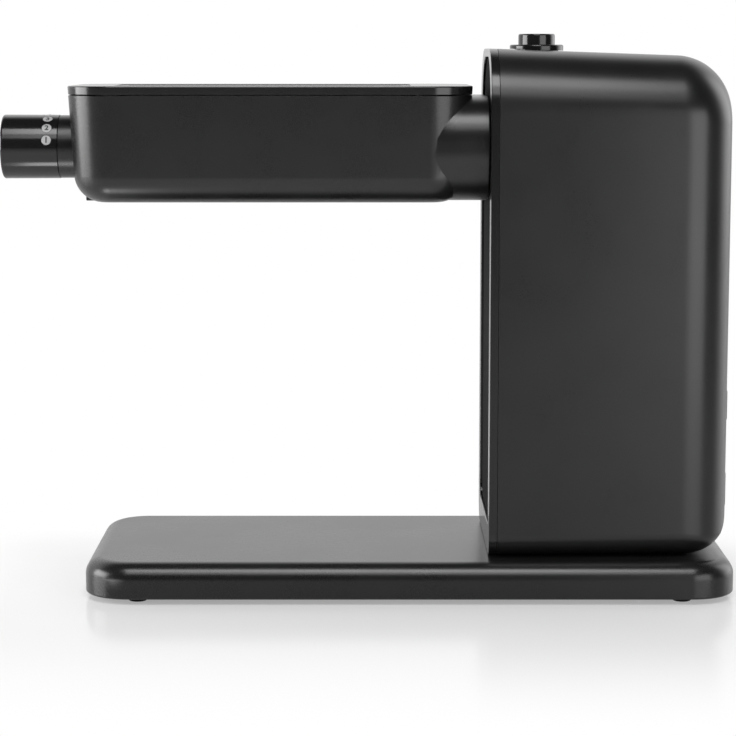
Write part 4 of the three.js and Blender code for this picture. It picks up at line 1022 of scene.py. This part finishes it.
def make_knob():
    left, right = low("thickness_knob").x, high("thickness_knob").x
    end, bore_end = right + 0.15, right - KNOB_BORE_DEPTH
    dish, dish_depth, ridge, tip_edge = 10.6, 0.5, 1.0, 1.1
    knob = turned("knob_skin", [
        (0, left + dish_depth), (dish, left + dish_depth, 1.5), (dish + ridge, left, 1.5),
        (KNOB_TIP_RADIUS, left, tip_edge), (KNOB_RADIUS, end, 0.2), (KNOB_BORE, end, 0.3),
        (KNOB_BORE, bore_end), (0, bore_end)], (0, AXIS), "x", 128)
    dress(knob, "knob", "gloss_black", "gloss_turned", "thickness_knob")

    along = (DIAL_PLACE - left) / (right - left)
    skin = KNOB_TIP_RADIUS + (KNOB_RADIUS - KNOB_TIP_RADIUS) * along
    pad_radius, pad_lift, ink_lift = 2.28, 0.03, 0.06
    pads, inks = [], []
    for number in range(DIAL_NUMBERS):
        angle = math.radians(DIAL_FIRST + DIAL_STEP * number)
        pads.append(thin("pad", *disc(pad_radius, skin + pad_lift, angle)))
        inks.append(thin("ink", *numeral(str(number + 1), skin + ink_lift, angle)))
    dress(merged("dial_pads", pads), "knob", "gloss_black", "pad_grey")
    dress(merged("dial_digits", inks), "knob", "gloss_black", "pad_ink")


def make_collar():
    left, right = low("knob_collar").x, high("knob_collar").x
    ring = turned("collar_ring", [
        (SHAFT_HOLE, left, 0.3), (COLLAR_RADIUS, left, 0.15), (COLLAR_RADIUS, right),
        (SHAFT_HOLE, right)], (0, AXIS), "x", 128, closed=True)
    carve(ring, head_skin("collar_cut", -SEAT, BODY_TOP, 12))
    dress(ring, "head", "satin_black", "satin_black", "knob_collar")


# Rollers and screws

def ring_rule():
    """Rings that stand side by side along X, at one pitch."""
    rule = Rule("cutter_rings", {"Count": "Int", "Start": "Vector", "Pitch": "Float",
                                 "Width": "Float", "Radius": "Float"})
    given = rule.given
    step = rule.node("CombineXYZ", {}, {"X": given["Pitch"]})
    line = rule.node("MeshLine", {"mode": "OFFSET"}, {
        "Count": given["Count"], "Start Location": given["Start"], "Offset": step})
    ring = rule.node("MeshCylinder", {}, {"Vertices": 72, "Radius": given["Radius"],
                                          "Depth": given["Width"]})
    rule.close(line, rule.moved(ring, Rotation=(0, QUARTER, 0)))
    return rule


def screw_rule():
    """Cross-recessed screws that point up from their places."""
    rule = Rule("base_screws", {"Head Radius": "Float", "Head Height": "Float",
                                "Shank Radius": "Float", "Shank Length": "Float", "Slot": "Float"})
    given = rule.given
    height, length = given["Head Height"], given["Shank Length"]

    def up(distance):
        return rule.node("CombineXYZ", {}, {"Z": distance})

    head = rule.node("MeshCylinder", {}, {"Vertices": 48, "Radius": given["Head Radius"],
                                          "Depth": height})
    head = rule.moved(head, Translation=up(height * 0.5))
    bar_size = rule.node("CombineXYZ", {}, {"X": given["Head Radius"] * 1.25, "Y": given["Slot"],
                                            "Z": height * 1.3})
    bar = rule.node("MeshCube", {}, {"Size": bar_size})
    across = rule.moved(bar, Rotation=(0, 0, QUARTER))
    head = rule.node("MeshBoolean", {"operation": "DIFFERENCE"}, {"Mesh 1": head,
                                                                 "Mesh 2": [bar, across]})
    shank = rule.node("MeshCylinder", {}, {"Vertices": 32, "Radius": given["Shank Radius"],
                                           "Depth": length})
    shank = rule.moved(shank, Translation=up(height * SHANK_START + length * 0.5))
    rule.close(given["Places"], rule.node("JoinGeometry", {}, {"Geometry": [head, shank]}))
    return rule


def make_rollers():
    cutter_rings = ring_rule()
    edge = 0.3
    for name in ("press_roller_front", "press_roller_rear",
                 "cutter_roller_front", "cutter_roller_rear"):
        near, far = low(name), high(name)
        cutter = name.startswith("cutter")
        centre = ((near.y + far.y) / 2, (near.z + far.z) / 2)
        radius = CUTTER_CORE if cutter else (far.y - near.y) / 2
        roller = turned(name.replace("roller", "drum"), [
            (0, near.x), (ROLLER_SHAFT, near.x, edge), (ROLLER_SHAFT, WORK[0]),
            (radius, WORK[0], edge), (radius, WORK[1], edge), (ROLLER_SHAFT, WORK[1]),
            (ROLLER_SHAFT, far.x, edge), (0, far.x)], centre, "x", 96)
        if cutter:
            share = 0.25 if name.endswith("front") else 0.75
            start = Vector((WORK[0] + share * CUTTER_PITCH, *centre)) * MM
            rings = cutter_rings.piece(name.replace("roller", "rings"), [], {
                "Count": CUTTER_RINGS, "Start": start, "Pitch": CUTTER_PITCH * MM,
                "Width": (CUTTER_PITCH / 2 - SEAT) * MM, "Radius": CUTTER_RADIUS * MM}, "steel")
            roller = merged(roller.name, [roller, rings])
        dress(roller, name.replace("_roller", ""), "steel", "steel", name)


def make_screws():
    names = [f"base_screw_{number}" for number in range(1, 5)]
    length = high(names[0]).z - low(names[0]).z - SCREW_HEAD_HEIGHT * SHANK_START
    places = [(*middle(name), low(name).z) for name in names]
    screws = screw_rule().piece("base_screw_set", places, {
        "Head Radius": SCREW_HEAD_RADIUS * MM, "Head Height": SCREW_HEAD_HEIGHT * MM,
        "Shank Radius": SCREW_RADIUS * MM, "Shank Length": length * MM,
        "Slot": SCREW_SLOT * MM}, "steel")
    dress(screws, "stand", "steel", "steel", *names)


for make_piece in (make_base, make_shell, make_trim, make_panel, make_bezel, make_button,
                   make_switch, make_inlet, make_head, make_rim, make_guide, make_knob,
                   make_collar, make_rollers, make_screws):
    make_piece()


# Nodes that stay as the CAD has them

for kept_finish, kept_nodes in {
    "steel": ["input_shaft", "output_shaft", "motor_can", "knob_cam",
              "tower_screw_1", "tower_screw_2", "tower_screw_3", "tower_screw_4"],
    "steel_wire": ["button_spring", "retaining_spring"],
    "zinc": ["roller_frame_left", "roller_frame_right", "gear_plate_front", "gear_plate_rear",
             "motor_gearhead", "plate_spacer_1", "plate_spacer_2"],
    "nylon": ["output_gear", "press_gear_front", "press_gear_rear", "cutter_gear_front",
              "cutter_gear_rear"],
    "dark_nylon": ["spigot_socket", "head_spigot", "gap_carrier", "motor_rear_cap"],
    "brass": ["input_pinion", "motor_pinion", "shaft_bush_front", "shaft_bush_rear"],
    "board_green": ["control_board"],
    "matt_black": ["base_floor_plate"],
}.items():
    for kept_node in kept_nodes:
        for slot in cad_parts[kept_node].material_slots:
            slot.material = finishes[kept_finish]


# Floor, light and camera; distances in shaders are in metres

def stage():
    """A white floor that is lit and mirrors a little near the object, and plain white beyond."""
    side, front, back = 4000, -3000, 6000
    corners = [(-side, front, 0), (side, front, 0), (side, back, 0), (-side, back, 0)]
    floor = make("floor", corners, [[0, 1, 2, 3]])
    material = bpy.data.materials.new("floor_white")
    finish = Finish(material)
    camera_ray = finish.node("LightPath", {}, {}, 0)
    across, depth, _ = finish.parts(finish.node("TexCoord", {}, {}, 3))
    near = finish.spread(finish.size_of(across), 0.215, 0.165)
    near = near * finish.spread(depth, -0.27, -0.1) * finish.spread(depth, 0.12, 0.04)
    sheen = finish.node("BsdfPrincipled", {}, {"Base Color": grey(0.8), "Roughness": 0.16,
                                              "IOR": 1.35})
    glow = finish.node("Emission", {}, {"Color": grey(1), "Strength": 1.0})
    lit_share = 0.65
    both = finish.node("MixShader", {}, {0: camera_ray * (1 - near * lit_share), 1: sheen,
                                         2: glow})
    finish.node("OutputMaterial", {}, {"Surface": both})
    floor.data.materials.append(material)


def softbox(name, azimuth, elevation, distance, aim, size, level):
    """A rectangular studio light of the given brightness, at angles seen from its aim."""
    data = bpy.data.lights.new(name, "AREA")
    data.shape = "RECTANGLE"
    data.size, data.size_y = size[0] * MM, size[1] * MM
    data.energy = level * math.pi * data.size * data.size_y
    lamp = link(name, data)
    turn, rise = math.radians(azimuth), math.radians(elevation)
    way = Vector((math.sin(turn) * math.cos(rise), -math.cos(turn) * math.cos(rise),
                  math.sin(rise)))
    lamp.location = (Vector(aim) + way * distance) * MM
    lamp.rotation_euler = way.to_track_quat("Z", "Y").to_euler()
    lamp.visible_camera = False


def surroundings():
    """A white room for the camera; in reflections it is white low behind and at the right."""
    world = bpy.data.worlds.new("studio")
    scene.world = world
    finish = Finish(world)
    camera_ray = finish.node("LightPath", {}, {}, 0)
    side, depth, height = finish.parts(finish.node("TexCoord", {}, {}, 0))
    behind = finish.spread(depth + finish.size_of(side) * 0.4, 0.35, 0.6)
    flank = finish.spread(depth, 0.15, 0.35) * finish.spread(side, 0.55, 0.75)
    lowness = finish.spread(height, 0.9, 0.62)
    wall = finish.spread(height, 0.2, 0.5, 1.0, 1.35)
    dim, flank_level = 0.02, 1.8
    level = dim + lowness * (behind * wall + flank * flank_level)
    seen = level + camera_ray * (1 - level)
    back = finish.node("Background", {}, {"Color": grey(1), "Strength": seen})
    finish.node("OutputWorld", {}, {"Surface": back})


def camera():
    sensor, picture_width, focal_pixels, down = 36, 736, 2355, 7.65
    data = bpy.data.cameras.new("camera")
    data.sensor_width = sensor
    data.lens = focal_pixels / picture_width * sensor
    data.clip_end = 100
    eye = link("camera", data)
    eye.location = Vector((0.22, -1137, 256.2)) * MM
    eye.rotation_euler = (QUARTER - math.radians(down), 0, 0)
    scene.camera = eye


stage()
# Each light: name, angle round from the front, angle up, distance, aim, size and brightness
middle_aim = (20, -30, 180)
for light in (
        ("light_top", 0, 59, 1700, middle_aim, (900, 640), 8.0),
        ("light_front", 0, 40, 1700, middle_aim, (900, 440), 3.3),
        ("light_right", 38, 2, 900, (60, -40, 170), (640, 520), 3.0),
        ("light_left", -82, 8, 1100, (-150, 0, 190), (800, 560), 9.0),
        ("light_low", -180, -88, 100, (-165, -110, 105), (60, 60), 6.5)):
    softbox(*light)
surroundings()
camera()
scene.view_settings.view_transform = "Standard"
